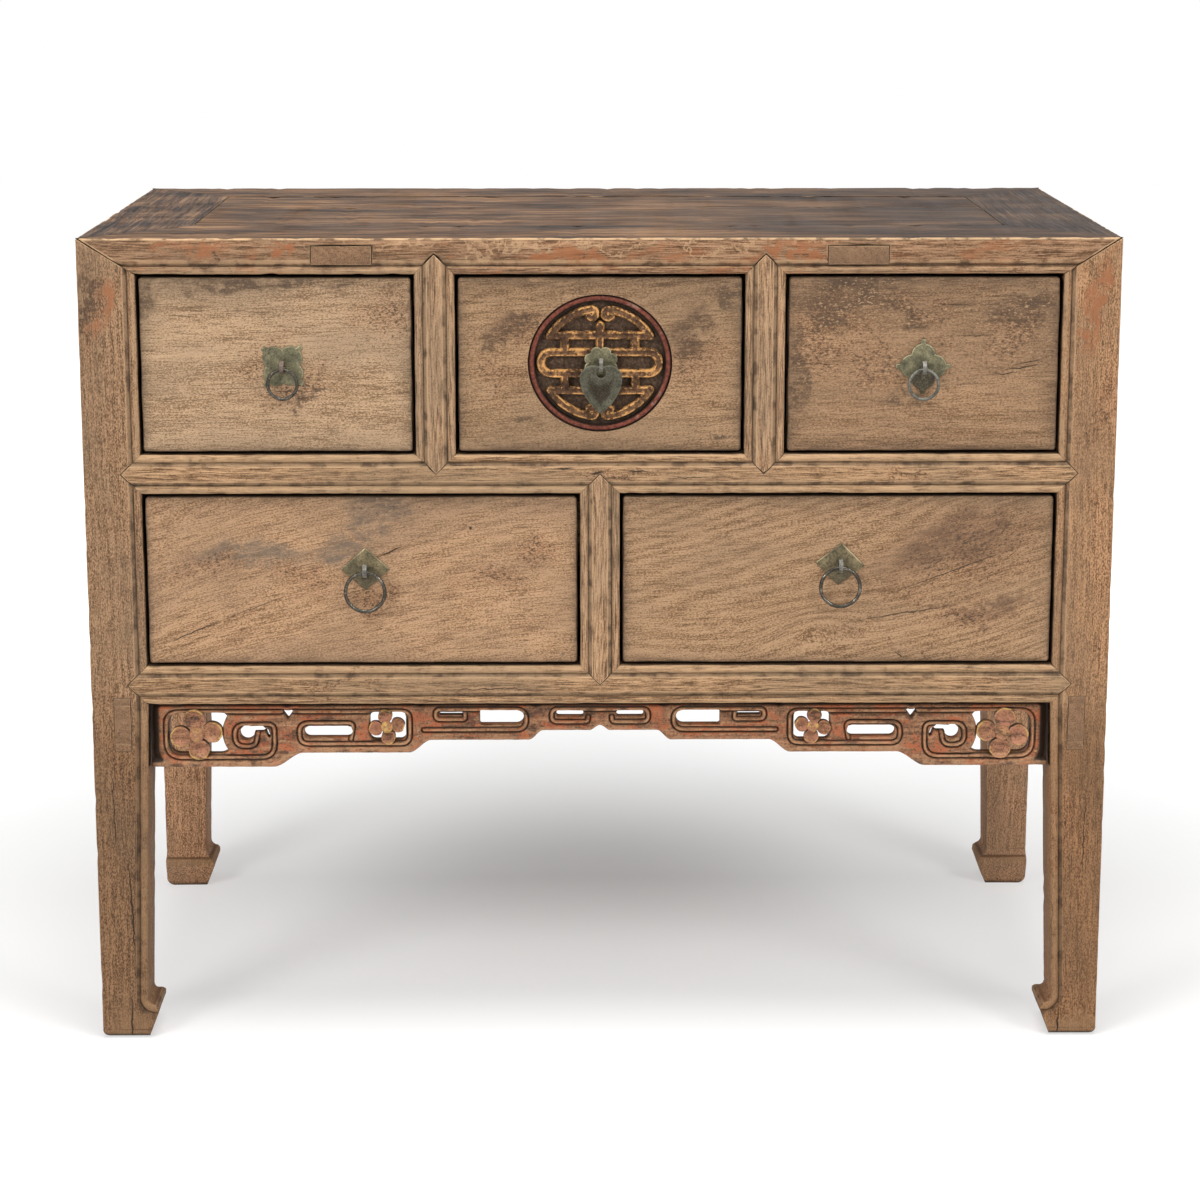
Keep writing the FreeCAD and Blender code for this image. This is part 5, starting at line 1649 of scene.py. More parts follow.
    def _inside(self, x: Array, drop: Array) -> Array:
        """Field that is positive in the wood."""
        return np.minimum(self._edge(x, drop), self._openings(x, drop))

    def _bead(self, x: Array, drop: Array) -> Array:
        """Distance from the middle line of the nearest bead."""
        lines = [path_distance(np.abs(x), drop, rounded_path(corners)) for corners in self.beads]
        return np.min(lines, axis=0)

    def _hollow(self, x: Array, drop: Array) -> Array:
        """Depth of the grooves beside the beads, the valleys, the set-back head and the end coves.

        Args:
            x: Places along X.
            drop: Drops below the rail.

        Returns:
            The depth at each place.
        """
        reach = np.abs(x)
        depth, place, spread = self.groove
        deep = depth * bell(self._bead(x, drop), place, spread)
        depth, spread, upper, lower = self.valley
        for end in self.bay_ends:
            deep += depth * bell(reach, end, spread) * (1.0 - smooth_step(drop, upper, lower))
        depth, lower, upper = self.head
        deep += depth * smooth_step(-drop, -lower, -upper)
        outside = box_distance(reach, drop, *self.cove)
        return deep + self.cove_depth * smooth_step(outside, 0.0, self.cove_run) * (
            1.0 - 0.85 * smooth_step(drop, *self.cove_lip))

    def _height(self, x: Array, drop: Array) -> Array:
        """How far the carving stands out of its front plane.

        Args:
            x: Places along X.
            drop: Drops below the rail.

        Returns:
            The height at each place.
        """
        run, fall = self.edge_round
        round_off = np.clip(1.0 - self._inside(x, drop) / run, 0.0, 1.0)
        level = -0.7 - fall * (1.0 - np.sqrt(1.0 - round_off ** 2)) - self._hollow(x, drop)
        level += 0.5 * bell(self._bead(x, drop), 0.0, 1.2)
        level += 0.40 * ripple(x, drop, 26.0, 2.0) + 0.28 * ripple(x, drop, 8.0, 5.0)
        return np.clip(level, -self.deepest, 0.0)

    def _openness(self, x: Array, deep: Array, drop: Array) -> Array:
        """1 on open faces, falling to 0 in hollows and deep in the holes; the finish paints shade by it."""
        shallow = 1.0 - np.clip(self._hollow(x, drop) / 3.6, 0.0, 1.0)
        return shallow * (1.0 - 0.6 * smooth_step(deep, 4.0, 12.0))

    def _rubbed(self, x: Array, drop: Array) -> Array:
        """Where hands have worn the lacquer off: beads, rounded edges and the lower band of the end bays.

        Args:
            x: Places along X.
            drop: Drops below the rail.

        Returns:
            The wear at each place, from 0 to 1.
        """
        wood = self._inside(x, drop)
        band = smooth_step(-self._edge(x, drop), -11.0, -6.0) * smooth_step(np.abs(x), 170.0, 230.0)
        ridge = np.maximum(bell(self._bead(x, drop), 0.0, 1.3), 0.7 * bell(wood, 1.4, 1.5))
        return np.maximum(ridge, 0.75 * band * smooth_step(drop, 20.0, 32.0))

    def _flowers(self, top: float, front: float) -> None:
        """Four flowers, each made of cupped petals set round a boss.

        Args:
            top: Height of the rail's underside.
            front: The board's front plane along Y.
        """
        material = self.petal_finish.material("lacquered_flowers")
        tree = flower_tree(material)
        parts = []
        for x, drop, reach, boss in self.flowers:
            petal = self._petal(reach)
            for hand in (-1.0, 1.0):
                values = {"Petals": 4, "Turn": math.radians(hand * self.flower_turn), "Boss": boss * MM,
                          "Boss Height": self.boss_rise * MM, "Middle": (hand * x * MM, front * MM, (top - drop) * MM)}
                parts.append(grown_mesh(petal, tree, values))
        mesh = merged(parts)
        end_x, end_drop, _, end_boss = self.flowers[1]
        # Deeper parts of the petals get painted shade.
        mark_points(mesh, "relief", lambda x, y, z: smooth_step(front - y, -8.0, 0.2))
        mark_points(mesh, "gilt", lambda x, y, z: smooth_step(front - y, 0.7, 1.6) * np.where(
            np.hypot(np.abs(x) - end_x, top - z - end_drop) < end_boss, 0.2, 1.0))
        hand_over("carved_apron_flowers", mesh, material, "carcass", ("carved_apron",), 50.0)

    def _petal(self, reach: float) -> Mesh:
        """One petal that points along +X from the flower's middle: a round, deeply cupped shell.

        Args:
            reach: How far it reaches from the middle.

        Returns:
            The closed petal.
        """
        middle, radius = 0.60 * reach, 0.385 * reach

        def inside(x: Array, z: Array) -> Array:
            """Distance inside a nearly round outline."""
            return radius - np.hypot(x - middle, 0.97 * z) + 0.25 * np.sin(0.7 * z + 0.4 * x)

        def height(x: Array, z: Array) -> Array:
            """Cup that rises to a rolled rim, higher at the tip.

            Args:
                x: Places along X.
                z: Places along Z.

            Returns:
                The height at each place.
            """
            share = np.clip(1.0 - inside(x, z) / radius, 0.0, 1.0)
            rim = 5.4 * share ** 2.0 - 3.6 + 0.7 * (x - middle) / radius
            return rim - 1.6 * bell(share, 1.02, 0.07) + 0.15 * ripple(x, z, 7.0, 1.0)

        panel = Relief(np.arange(middle - radius - 1.5, reach + 2.0, 0.7), np.arange(-radius - 1.5, radius + 2.0, 0.7))
        return panel.build(inside, height, -0.4, 7.0)


def group_inputs(tree: Tree, sockets: dict[str, str]) -> Node:
    """Adds named inputs to a Geometry Nodes tree and gives the node that brings them in.

    Args:
        tree: The tree.
        sockets: Type of each input, by name.

    Returns:
        The node.
    """
    for name, kind in sockets.items():
        tree.interface.new_socket(name, in_out="INPUT", socket_type=kind)
    tree.interface.new_socket("Geometry", in_out="OUTPUT", socket_type="NodeSocketGeometry")
    return tree.nodes.new("NodeGroupInput")


def end_tree(bench: NodeBench, geometry: Socket, material: Material) -> None:
    """Ends a tree in real geometry that wears a material.

    Args:
        bench: Bench of the tree's nodes.
        geometry: What the tree has made.
        material: Its finish.
    """
    real = bench.add("GeometryNodeRealizeInstances", {0: geometry}).outputs[0]
    dressed = bench.add("GeometryNodeSetMaterial", {"Geometry": real, "Material": material}).outputs[0]
    output = bench.tree.nodes.new("NodeGroupOutput")
    bench.tree.links.new(dressed, output.inputs[0])


def flower_tree(material: Material) -> Tree:
    """Tree that sets copies of a petal round a domed boss.

    Args:
        material: The finish of the flower.

    Returns:
        The tree, with inputs for the petals, their turn, the boss and the flower's middle.
    """
    tree = bpy.data.node_groups.new("carved_flower", "GeometryNodeTree")
    given = group_inputs(tree, {
        "Petal": "NodeSocketGeometry", "Petals": "NodeSocketInt", "Turn": "NodeSocketFloat",
        "Boss": "NodeSocketFloat", "Boss Height": "NodeSocketFloat", "Middle": "NodeSocketVector"})
    bench = NodeBench(tree)
    points = bench.add("GeometryNodePoints", {"Count": given.outputs["Petals"]}).outputs[0]
    index = bench.add("GeometryNodeInputIndex").outputs[0]
    share = bench.math("DIVIDE", index, given.outputs["Petals"])
    angle = bench.plus(bench.times(share, 2.0 * math.pi), given.outputs["Turn"])
    spin = bench.add("ShaderNodeCombineXYZ", {"Y": angle}).outputs[0]
    petals = bench.add("GeometryNodeInstanceOnPoints", {"Points": points, "Instance": given.outputs["Petal"],
                                                        "Rotation": spin}).outputs[0]
    dome = bench.add("GeometryNodeMeshUVSphere", {"Segments": 28, "Rings": 14, "Radius": 1.0}).outputs[0]
    size = bench.add("ShaderNodeCombineXYZ", {"X": given.outputs["Boss"], "Y": given.outputs["Boss Height"],
                                              "Z": given.outputs["Boss"]}).outputs[0]
    boss = bench.add("GeometryNodeTransform", {"Geometry": dome, "Scale": size}).outputs[0]
    both = bench.add("GeometryNodeJoinGeometry")
    tree.links.new(petals, both.inputs[0])
    tree.links.new(boss, both.inputs[0])
    placed = bench.add("GeometryNodeTransform", {"Geometry": both.outputs[0],
                                                 "Translation": given.outputs["Middle"]}).outputs[0]
    end_tree(bench, placed, material)
    return tree


def ring_tree(material: Material) -> Tree:
    """Tree that forges a ring: a round wire along a circle that is not quite true.

    Args:
        material: The finish of the ring.

    Returns:
        The tree, with inputs for the ring's radius, its wire, its middle and its unevenness.
    """
    tree = bpy.data.node_groups.new("forged_ring", "GeometryNodeTree")
    given = group_inputs(tree, {
        "Seed Mesh": "NodeSocketGeometry", "Radius": "NodeSocketFloat", "Wire": "NodeSocketFloat",
        "Middle": "NodeSocketVector", "Uneven": "NodeSocketFloat", "Seed": "NodeSocketFloat"})
    bench = NodeBench(tree)
    circle = bench.add("GeometryNodeCurvePrimitiveCircle", {"Resolution": 72, "Radius": given.outputs["Radius"]},
                       mode="RADIUS").outputs[0]
    here = bench.add("GeometryNodeInputPosition").outputs[0]
    rough = bench.add("ShaderNodeTexNoise", {"Vector": here, "W": given.outputs["Seed"], "Scale": 90.0},
                      noise_dimensions="4D").outputs["Color"]
    centred = bench.vector("SUBTRACT", rough, (0.5, 0.5, 0.5))
    shift = bench.vector("SCALE", centred)
    tree.links.new(given.outputs["Uneven"], shift.node.inputs["Scale"])
    path = bench.add("GeometryNodeSetPosition", {"Geometry": circle, "Offset": shift}).outputs[0]
    half = bench.times(given.outputs["Wire"], 0.5)
    wire = bench.add("GeometryNodeCurvePrimitiveCircle", {"Resolution": 16, "Radius": half}, mode="RADIUS").outputs[0]
    tube = bench.add("GeometryNodeCurveToMesh", {"Curve": path, "Profile Curve": wire}).outputs[0]
    upright = bench.add("GeometryNodeTransform", {"Geometry": tube, "Rotation": (math.pi / 2.0, 0.0, 0.0),
                                                  "Translation": given.outputs["Middle"]}).outputs[0]
    end_tree(bench, upright, material)
    return tree


def grown_mesh(mesh: Mesh, tree: Tree, values: dict[str, Any]) -> Mesh:
    """Runs a Geometry Nodes tree on a mesh.

    Args:
        mesh: The mesh that the tree starts from.
        tree: The tree.
        values: The tree's inputs, by name.

    Returns:
        The result as a plain mesh.
    """
    maker = bpy.data.objects.new("maker", mesh)
    bpy.context.scene.collection.objects.link(maker)
    modifier = maker.modifiers.new("grow", "NODES")
    modifier.node_group = tree
    for item in tree.interface.items_tree:
        if item.in_out == "INPUT" and item.name in values:
            modifier[item.identifier] = values[item.name]
    grown = bpy.data.meshes.new_from_object(maker.evaluated_get(bpy.context.evaluated_depsgraph_get()))
    maker.modifiers.remove(modifier)
    bpy.data.objects.remove(maker)
    return grown


def merged(meshes: list[Mesh]) -> Mesh:
    """One mesh that holds several, each kept as a closed shell.

    Args:
        meshes: The closed meshes.

    Returns:
        The whole mesh.
    """
    shape = bmesh.new()
    for mesh in meshes:
        part = bmesh.new()
        part.from_mesh(mesh)
        if part.calc_volume(signed=True) < 0.0:
            bmesh.ops.reverse_faces(part, faces=part.faces[:])
        part.to_mesh(mesh)
        part.free()
        shape.from_mesh(mesh)
    whole = bpy.data.meshes.new("merged")
    shape.to_mesh(whole)
    shape.free()
    return whole


@dataclass(frozen=True)
class Roundel:
    """Longevity lattice let into the middle drawer: a ring, a long loop, arms, posts and curled bands."""

    ring: float = 6.8
    well: float = 7.0
    bar: float = 8.8
    loop_half: Pair = (61.5, 11.2)
    arm_half: float = 47.0
    arm_lift: float = 29.0
    posts: Pair = (0.0, 36.5)
    band_gap: float = 8.4
    band_low: float = 30.0
    band_high: float = 82.0
    curl: float = 7.0
    bulb: float = 5.6
    grid: float = 0.8
    finish: GiltLattice = GiltLattice()

    def dress(self) -> None:
        """Builds the roundel and dresses it."""
        low, high, middle, half = front_box("roundel")

        def inside(x: Array, z: Array) -> Array:
            """Field that is positive in the disc."""
            return oval_field(x, z, middle, half)

        def height(x: Array, z: Array) -> Array:
            """Level of the ring, bars and sunk ground.

            Args:
                x: Places along X.
                z: Places along Z.

            Returns:
                The height at each place.
            """
            rim = inside(x, z)
            bars = self.bar / 2.0 - self._lattice(x - middle[0], z - middle[1], half)
            level = -self.well + self.well * smooth_step(bars, -1.0, 1.4) - 0.9 * bell(bars, 4.0, 1.5)
            level += 0.4 * ripple(x, z, 14.0, 3.0) * smooth_step(-level, 4.0, 6.0)
            band = smooth_step(self.ring - rim, -0.6, 0.6)
            crown = -0.25 - 0.9 * (1.0 - bell(rim, 0.58 * self.ring, self.ring / 2.6)) - 2.2 * bell(rim, 0.6, 1.0)
            return np.maximum(level * (1.0 - band) + crown * band, -self.well - 0.4)

        mesh = Relief.over(low, high, 1.6, 2.0, self.grid).build(inside, height, low.y, high.y)
        mark_points(mesh, "relief", lambda x, y, z: np.clip((low.y + self.well - y) / self.well, 0.0, 1.0))
        mark_points(mesh, "ring", lambda x, y, z: smooth_step(self.ring - inside(x, z), 0.0, 0.6))
        # Outline: painted shade at the disc's outer edge and at the ring's inner step.
        mark_points(mesh, "outline", lambda x, y, z: np.maximum(
            1.0 - smooth_step(inside(x, z), 1.0, 2.0), bell(inside(x, z), self.ring, 1.0)))
        mark_points(mesh, "rubbed", lambda x, y, z: bell(
            self.bar / 2.0 - self._lattice(x - middle[0], z - middle[1], half), 1.0, 1.3))
        hand_over("roundel_lattice", mesh, self.finish.material("gilt_roundel"), "upper_middle_drawer",
                  ("roundel",), 60.0)

    def _lattice(self, x: Array, z: Array, half: Pair) -> Array:
        """Distance from the middle line of the nearest bar; both halves are mirror images.

        Args:
            x: Places to the right of the middle.
            z: Places above the middle.
            half: Half of the width and of the height.

        Returns:
            The distance at each place.
        """
        reach, lift = np.abs(x), np.abs(z)
        nearest = np.abs(box_distance(x, z, (0.0, 0.0), self.loop_half, self.loop_half[1]))
        lines = [[(post, self.loop_half[1]), (post, self.arm_lift)] for post in self.posts]
        for line in [[(0.0, self.arm_lift), (self.arm_half, self.arm_lift)], *lines]:
            nearest = np.minimum(nearest, path_distance(reach, lift, line))
        bulb = np.hypot(reach - self.arm_half - 2.0, lift - self.arm_lift - 1.0) - self.bulb + self.bar / 2.0
        nearest = np.minimum(nearest, np.maximum(bulb, 0.0))
        stub = [(0.0, self.arm_lift), (0.0, self.arm_lift + 11.0)]
        nearest = np.minimum(nearest, np.where(z > 0.0, path_distance(reach, lift, stub), 1e9))
        return np.minimum(nearest, path_distance(reach, lift, self._band(half)))

    def _band(self, half: Pair) -> list[Pair]:
        """Middle line of a band: round the arm's end, along the ring, and curled in at the middle.

        Args:
            half: Half of the width and of the height.

        Returns:
            Points along the line.
        """
        wide = half[0] - self.ring - self.band_gap
        tall = half[1] - self.ring - self.band_gap
        points = [(self.arm_half, self.arm_lift)]
        for count in range(13):
            angle = math.radians(self.band_low + (self.band_high - self.band_low) * count / 12.0)
            points.append((wide * math.cos(angle), tall * math.sin(angle)))
        end = points[-1]
        for count in range(1, 7):
            turn = math.radians(90.0 + 38.0 * count)
            points.append((end[0] + self.curl * 0.55 * math.cos(turn),
                           end[1] - self.curl * (1.0 - math.sin(turn)) * 0.62))
        return points


@dataclass(frozen=True)
class Pull:
    """One drawer's pull: plate, staple, and the ring or leaf that hangs in it."""

    name: str
    plate: PlateKind
    hang: RingKind
    turn: float
    sheet: Patina
    wire: Patina
    staple: Patina
    staple_wear: Wear = Wear(arris=0.45, slice=40.0, wave=0.1, chip=0.15, shortest=0.8)
    quatrefoil: tuple[int, float, float] = (4, 12.5, 11.5)
    rosette: tuple[int, float, float] = (8, 6.0, 12.0)
    tab: float = 5.0
    tab_long: float = 4.5
    diamond: Pair = (52.0, 46.0)
    spread: float = 0.1
    wire_share: float = 0.97
    uneven: float = 0.7
    leaf_thick: float = 2.0
    leaf_wide: float = 44.0
    shoulder_drop: float = 15.4
    cheek: float = 13.5
    cheek_place: float = 8.5
    notch: Pair = (10.0, 9.0)
    eyelet: float = 16.0
    eyelet_wire: float = 3.0
    pivot_drop: float = 3.495
    # Strength of the painted shadow on the plate inside the ring.
    shade: float = 0.0
    grid: float = 0.55

    def dress(self) -> None:
        """Builds the plate, the staple and what hangs in it."""
        drawer = f"{self.name}_drawer"
        plate, staple, ring = (f"{self.name}_pull_{part}" for part in ("plate", "staple", "ring"))
        hand_over(f"{plate}_sheet", self._plate(plate), self.sheet.material(f"patina_{plate}"), drawer,
                  (plate,))
        hand_over(f"{staple}_strip", self.staple_wear.copy_of(staple), self.staple.material(f"patina_{staple}"), drawer,
                  (staple,), 30.0)
        material = self.wire.material(f"patina_{ring}")
        mesh = self._leaf(ring, material) if self.hang is RingKind.LEAF else self._ring(ring, material)
        hand_over(f"{ring}_wire", mesh, material, f"{self.name}_ring", (ring,), 50.0)

    def _plate(self, node: str) -> Mesh:
        """Thin sheet cut to the plate's outline, filed at its edge and a little hammered.

        Args:
            node: The CAD node's name.

        Returns:
            The mesh.
        """
        low, high, middle, _ = front_box(node)
        turn = math.radians(self.turn)

        def inside(x: Array, z: Array) -> Array:
            """Field that is positive in the plate.

            Args:
                x: Places along X.
                z: Places along Z.

            Returns:
                The distance at each place.
            """
            across, up = x - middle[0], z - middle[1]
            u = across * math.cos(turn) + up * math.sin(turn)
            v = up * math.cos(turn) - across * math.sin(turn)
            return self._outline(u, v)

        def height(x: Array, z: Array) -> Array:
            """Filed edge, an engraved line inside it, and hammer marks.

            Args:
                x: Places along X.
                z: Places along Z.

            Returns:
                The height at each place.
            """
            edge = inside(x, z)
            level = -0.75 * bell(edge, 0.0, 0.8) - 0.22 * bell(edge, 2.3, 0.5)
            return level + 0.10 * ripple(x, z, 11.0, seed_of(self.name)) - 0.12

        mesh = Relief.over(low, high, 1.5, 1.8, self.grid).build(inside, height, low.y, high.y)
        mark_points(mesh, "arris", lambda x, y, z: bell(inside(x, z), 0.0, 0.7))
        # Painted shadow on the plate inside the ring, where the ring and staple shade it.
        _, _, heart, (wide, _) = front_box(node.replace("plate", "ring"))
        mark_points(mesh, "core", lambda x, y, z: self.shade * smooth_step(
            wide - np.hypot(x - heart[0], z - heart[1]), 0.0, 5.0))
        return mesh

    def _outline(self, u: Array, v: Array) -> Array:
        """Distance inside the plate's outline about its own middle.

        Args:
            u: Places along the plate's own width.
            v: Places along the plate's own height.

        Returns:
            The distance at each place.
        """
        if self.plate is PlateKind.DIAMOND:
            wide, tall = self.diamond[0] / 2.0, self.diamond[1] / 2.0
            return (1.0 - np.abs(u) / wide - np.abs(v) / tall) * wide * tall / math.hypot(wide, tall)
        tabbed = self.plate is PlateKind.QUATREFOIL
        count, lobe, place = self.quatrefoil if tabbed else self.rosette
        field_value = place - np.hypot(u, v)
        for number in range(count):
            axis = (2.0 * number + 1.0) * math.pi / count
            cos, sin = math.cos(axis), math.sin(axis)
            field_value = np.maximum(field_value, lobe - np.hypot(u - place * cos, v - place * sin))
            if tabbed:
                along, across = u * cos + v * sin, v * cos - u * sin
                reach = place + lobe + self.tab_long
                tab = -box_distance(along, across, (reach / 2.0, 0.0), (reach / 2.0, self.tab / 2.0), 0.8)
                field_value = np.maximum(field_value, tab)
        return field_value

    def _ring(self, node: str, material: Material) -> Mesh:
        """Forged ring in the node's place.

        Args:
            node: The CAD node's name.
            material: Its finish.

        Returns:
            The mesh.
        """
        low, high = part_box(node)
        wire = high.y - low.y
        values = {"Radius": (high.x - low.x - wire) / 2.0 + self.spread * MM, "Wire": wire * self.wire_share,
                  "Middle": (low + high) / 2.0, "Uneven": self.uneven * MM, "Seed": seed_of(node)}
        return grown_mesh(bpy.data.meshes.new("seed"), ring_tree(material), values)

    def _leaf(self, node: str, material: Material) -> Mesh:
        """Leaf drop: a thin dished plate with a raised rim and an eyelet near its top.

        Args:
            node: The CAD node's name.
            material: Its finish.

        Returns:
            The mesh.
        """
        low, high, (middle_x, _), _ = front_box(node)
        depth = (low.y + high.y) / 2.0
        eye = (middle_x, high.z - self.pivot_drop - (self.eyelet - self.eyelet_wire) / 2.0)
        half, shoulder = self.leaf_wide / 2.0, high.z - self.shoulder_drop

        def inside(x: Array, z: Array) -> Array:
            """Round shoulders with a shallow notch, flanks that swell to a point.

            Args:
                x: Places along X.
                z: Places along Z.

            Returns:
                The distance at each place.
            """
            reach = np.abs(x - middle_x)
            share = np.clip((shoulder - z) / (shoulder - low.z), 0.0, 1.0)
            lower = (half * (1.0 - share ** 1.9) ** 0.92 - reach) * 0.82
            cheek = self.cheek - np.hypot(reach - self.cheek_place, z - shoulder)
            neck = np.where(z < shoulder + self.notch[1], self.notch[0] - reach, -5.0)
            body = np.where(z < shoulder, lower, np.maximum(cheek, neck))
            hole = np.hypot(x - eye[0], z - eye[1]) - (self.eyelet / 2.0 - self.eyelet_wire)
            return np.minimum(body, hole)

        def height(x: Array, z: Array) -> Array:
            """Shallow dish inside a raised rim."""
            edge = inside(x, z)
            return -0.7 * bell(edge, 0.0, 0.7) - 0.55 * smooth_step(edge, 2.0, 6.0) + 0.08 * ripple(x, z, 12.0, 4.0)

        panel = Relief.over(low, high, 1.5, 1.8, self.grid)
        leaf = panel.build(inside, height, depth - self.leaf_thick / 2.0, depth + self.leaf_thick / 2.0)
        values = {"Radius": (self.eyelet - self.eyelet_wire) / 2.0 * MM, "Wire": self.eyelet_wire * MM,
                  "Middle": Vector((eye[0], depth, eye[1])) * MM, "Uneven": 0.0002, "Seed": seed_of(node)}
        loop = grown_mesh(bpy.data.meshes.new("seed"), ring_tree(material), values)
        mesh = merged([leaf, loop])
        mark_points(mesh, "arris", lambda x, y, z: bell(inside(x, z), 0.0, 0.9))
        mark_points(mesh, "core", lambda x, y, z: smooth_step(inside(x, z), 5.0, 10.0))
        return mesh


@dataclass(frozen=True)
class Studio:
    """Plain white floor with a painted shadow behind the table, soft lamps from both sides of the front, and the
    camera.
    """

    camera_place: Triple = (-24.5, -3197.2, 1197.6)
    camera_pitch: float = 11.192
    camera_yaw: float = 0.479
    lens: float = 85.60
    sensor: float = 36.0
    shift_up: float = -0.10
    clip_end: float = 50.0
    lamp_aim: Triple = (0.0, 0.0, 0.45)
    floor_size: float = 14.0
    floor_colour: Colour = (0.86, 0.86, 0.86)
    seen_floor: Colour = (0.52, 0.52, 0.52)
    floor_glow: float = 0.50
    far_glow: float = 1.0
    near: float = 0.85
    far: float = 1.8
    # Oval of painted shadow on the floor behind the table: its middle and radius in metres, and the glow left at its
    # middle.
    core: tuple[Pair, float] = ((0.0, 0.38), 0.62)
    shadow_core_glow: float = 0.24
    sky: float = 0.22
    lamps: tuple[tuple[Triple, float, float], ...] = (
        ((-2.3, -2.9, 2.3), 1.3, 58.0),
        ((2.5, -2.7, 2.2), 1.3, 48.0),
        ((0.0, -0.5, 3.4), 2.0, 105.0),
    )

    def build(self) -> None:
        """Sets the view, the world, the floor, the lamps and the camera."""
        scene = bpy.context.scene
        scene.view_settings.view_transform = "Standard"
        self._world(scene)
        self._floor()
        target = Vector(self.lamp_aim)
        for number, (place, size, power) in enumerate(self.lamps):
            lamp = bpy.data.lights.new(f"softbox_{number}", "AREA")
            lamp.shape = "DISK"
            lamp.size = size
            lamp.energy = power
            holder = bpy.data.objects.new(f"softbox_{number}", lamp)
            holder.location = place
            holder.rotation_euler = (target - Vector(place)).to_track_quat("-Z", "Y").to_euler()
            scene.collection.objects.link(holder)
        self._camera(scene)
        LOG.info("studio ready")

    def _camera(self, scene: bpy.types.Scene) -> None:
        """Camera at the photograph's angle.

        Args:
            scene: The scene.
        """
        data = bpy.data.cameras.new("camera")
        data.lens = self.lens
        data.sensor_width = self.sensor
        data.sensor_fit = "HORIZONTAL"
        data.shift_y = self.shift_up
        data.clip_end = self.clip_end
        holder = bpy.data.objects.new("camera", data)
        holder.location = Vector(self.camera_place) * MM
        holder.rotation_euler = (math.radians(90.0 - self.camera_pitch), 0.0, math.radians(-self.camera_yaw))
        scene.collection.objects.link(holder)
        scene.camera = holder

    @staticmethod
    def _seen(bench: NodeBench) -> Socket:
        """1 for rays from the eye and for those that mirrors and glass send on.

        Args:
            bench: Bench of the material's nodes.

        Returns:
            The socket that gives it.
        """
        path = bench.add("ShaderNodeLightPath")
        seen = bench.most(path.outputs["Is Camera Ray"], path.outputs["Is Glossy Ray"])
        return bench.most(seen, path.outputs["Is Transmission Ray"])

    def _world(self, scene: bpy.types.Scene) -> None:
        """White to the eye, and a plain soft sky for the light.

        Args:
            scene: The scene.
        """
        world = bpy.data.worlds.new("studio_sky")
        world.use_nodes = True
        bench = NodeBench(world.node_tree)
        background = world.node_tree.nodes["Background"]
        background.inputs["Color"].default_value = (1.0, 1.0, 1.0, 1.0)
        strength = bench.add("ShaderNodeMapRange", {"Value": self._seen(bench), "To Min": self.sky, "To Max": 1.0})
        bench.tree.links.new(strength.outputs[0], background.inputs["Strength"])
        scene.world = world

    def _floor(self) -> None:
        """Wide pale floor that glows a little to the eye, so that it is white outside the shadow, and glows less in an
        oval behind the table, a painted shadow.
        """
        half = self.floor_size / 2.0
        mesh = bpy.data.meshes.new("floor")
        mesh.from_pydata([(-half, -half, 0.0), (half, -half, 0.0), (half, half, 0.0), (-half, half, 0.0)], [],
                         [(0, 1, 2, 3)])
        material, bench, shader, here = new_material("pale_floor")
        away = bench.span(bench.vector("LENGTH", here), self.near, self.far, self.floor_glow, self.far_glow)
        # Painted shadow: the floor's glow dips in the oval behind the table.
        (core_x, core_y), wide = self.core
        inner = bench.vector("LENGTH", bench.vector("SUBTRACT", here, (core_x, core_y, 0.0)))
        inner = bench.span(inner, 0.0, wide, self.floor_glow - self.shadow_core_glow, 0.0)
        glow = bench.times(self._seen(bench), bench.minus(away, inner))
        colour = bench.mix(self._seen(bench), self.floor_colour, self.seen_floor)
        bench.join(shader, {"Base Color": colour, "Roughness": 1.0, "Specular IOR Level": 0.0,
                            "Emission Color": (1.0, 1.0, 1.0, 1.0), "Emission Strength": glow})
        mesh.materials.append(material)
        floor = bpy.data.objects.new("floor", mesh)
        bpy.context.scene.collection.objects.link(floor)


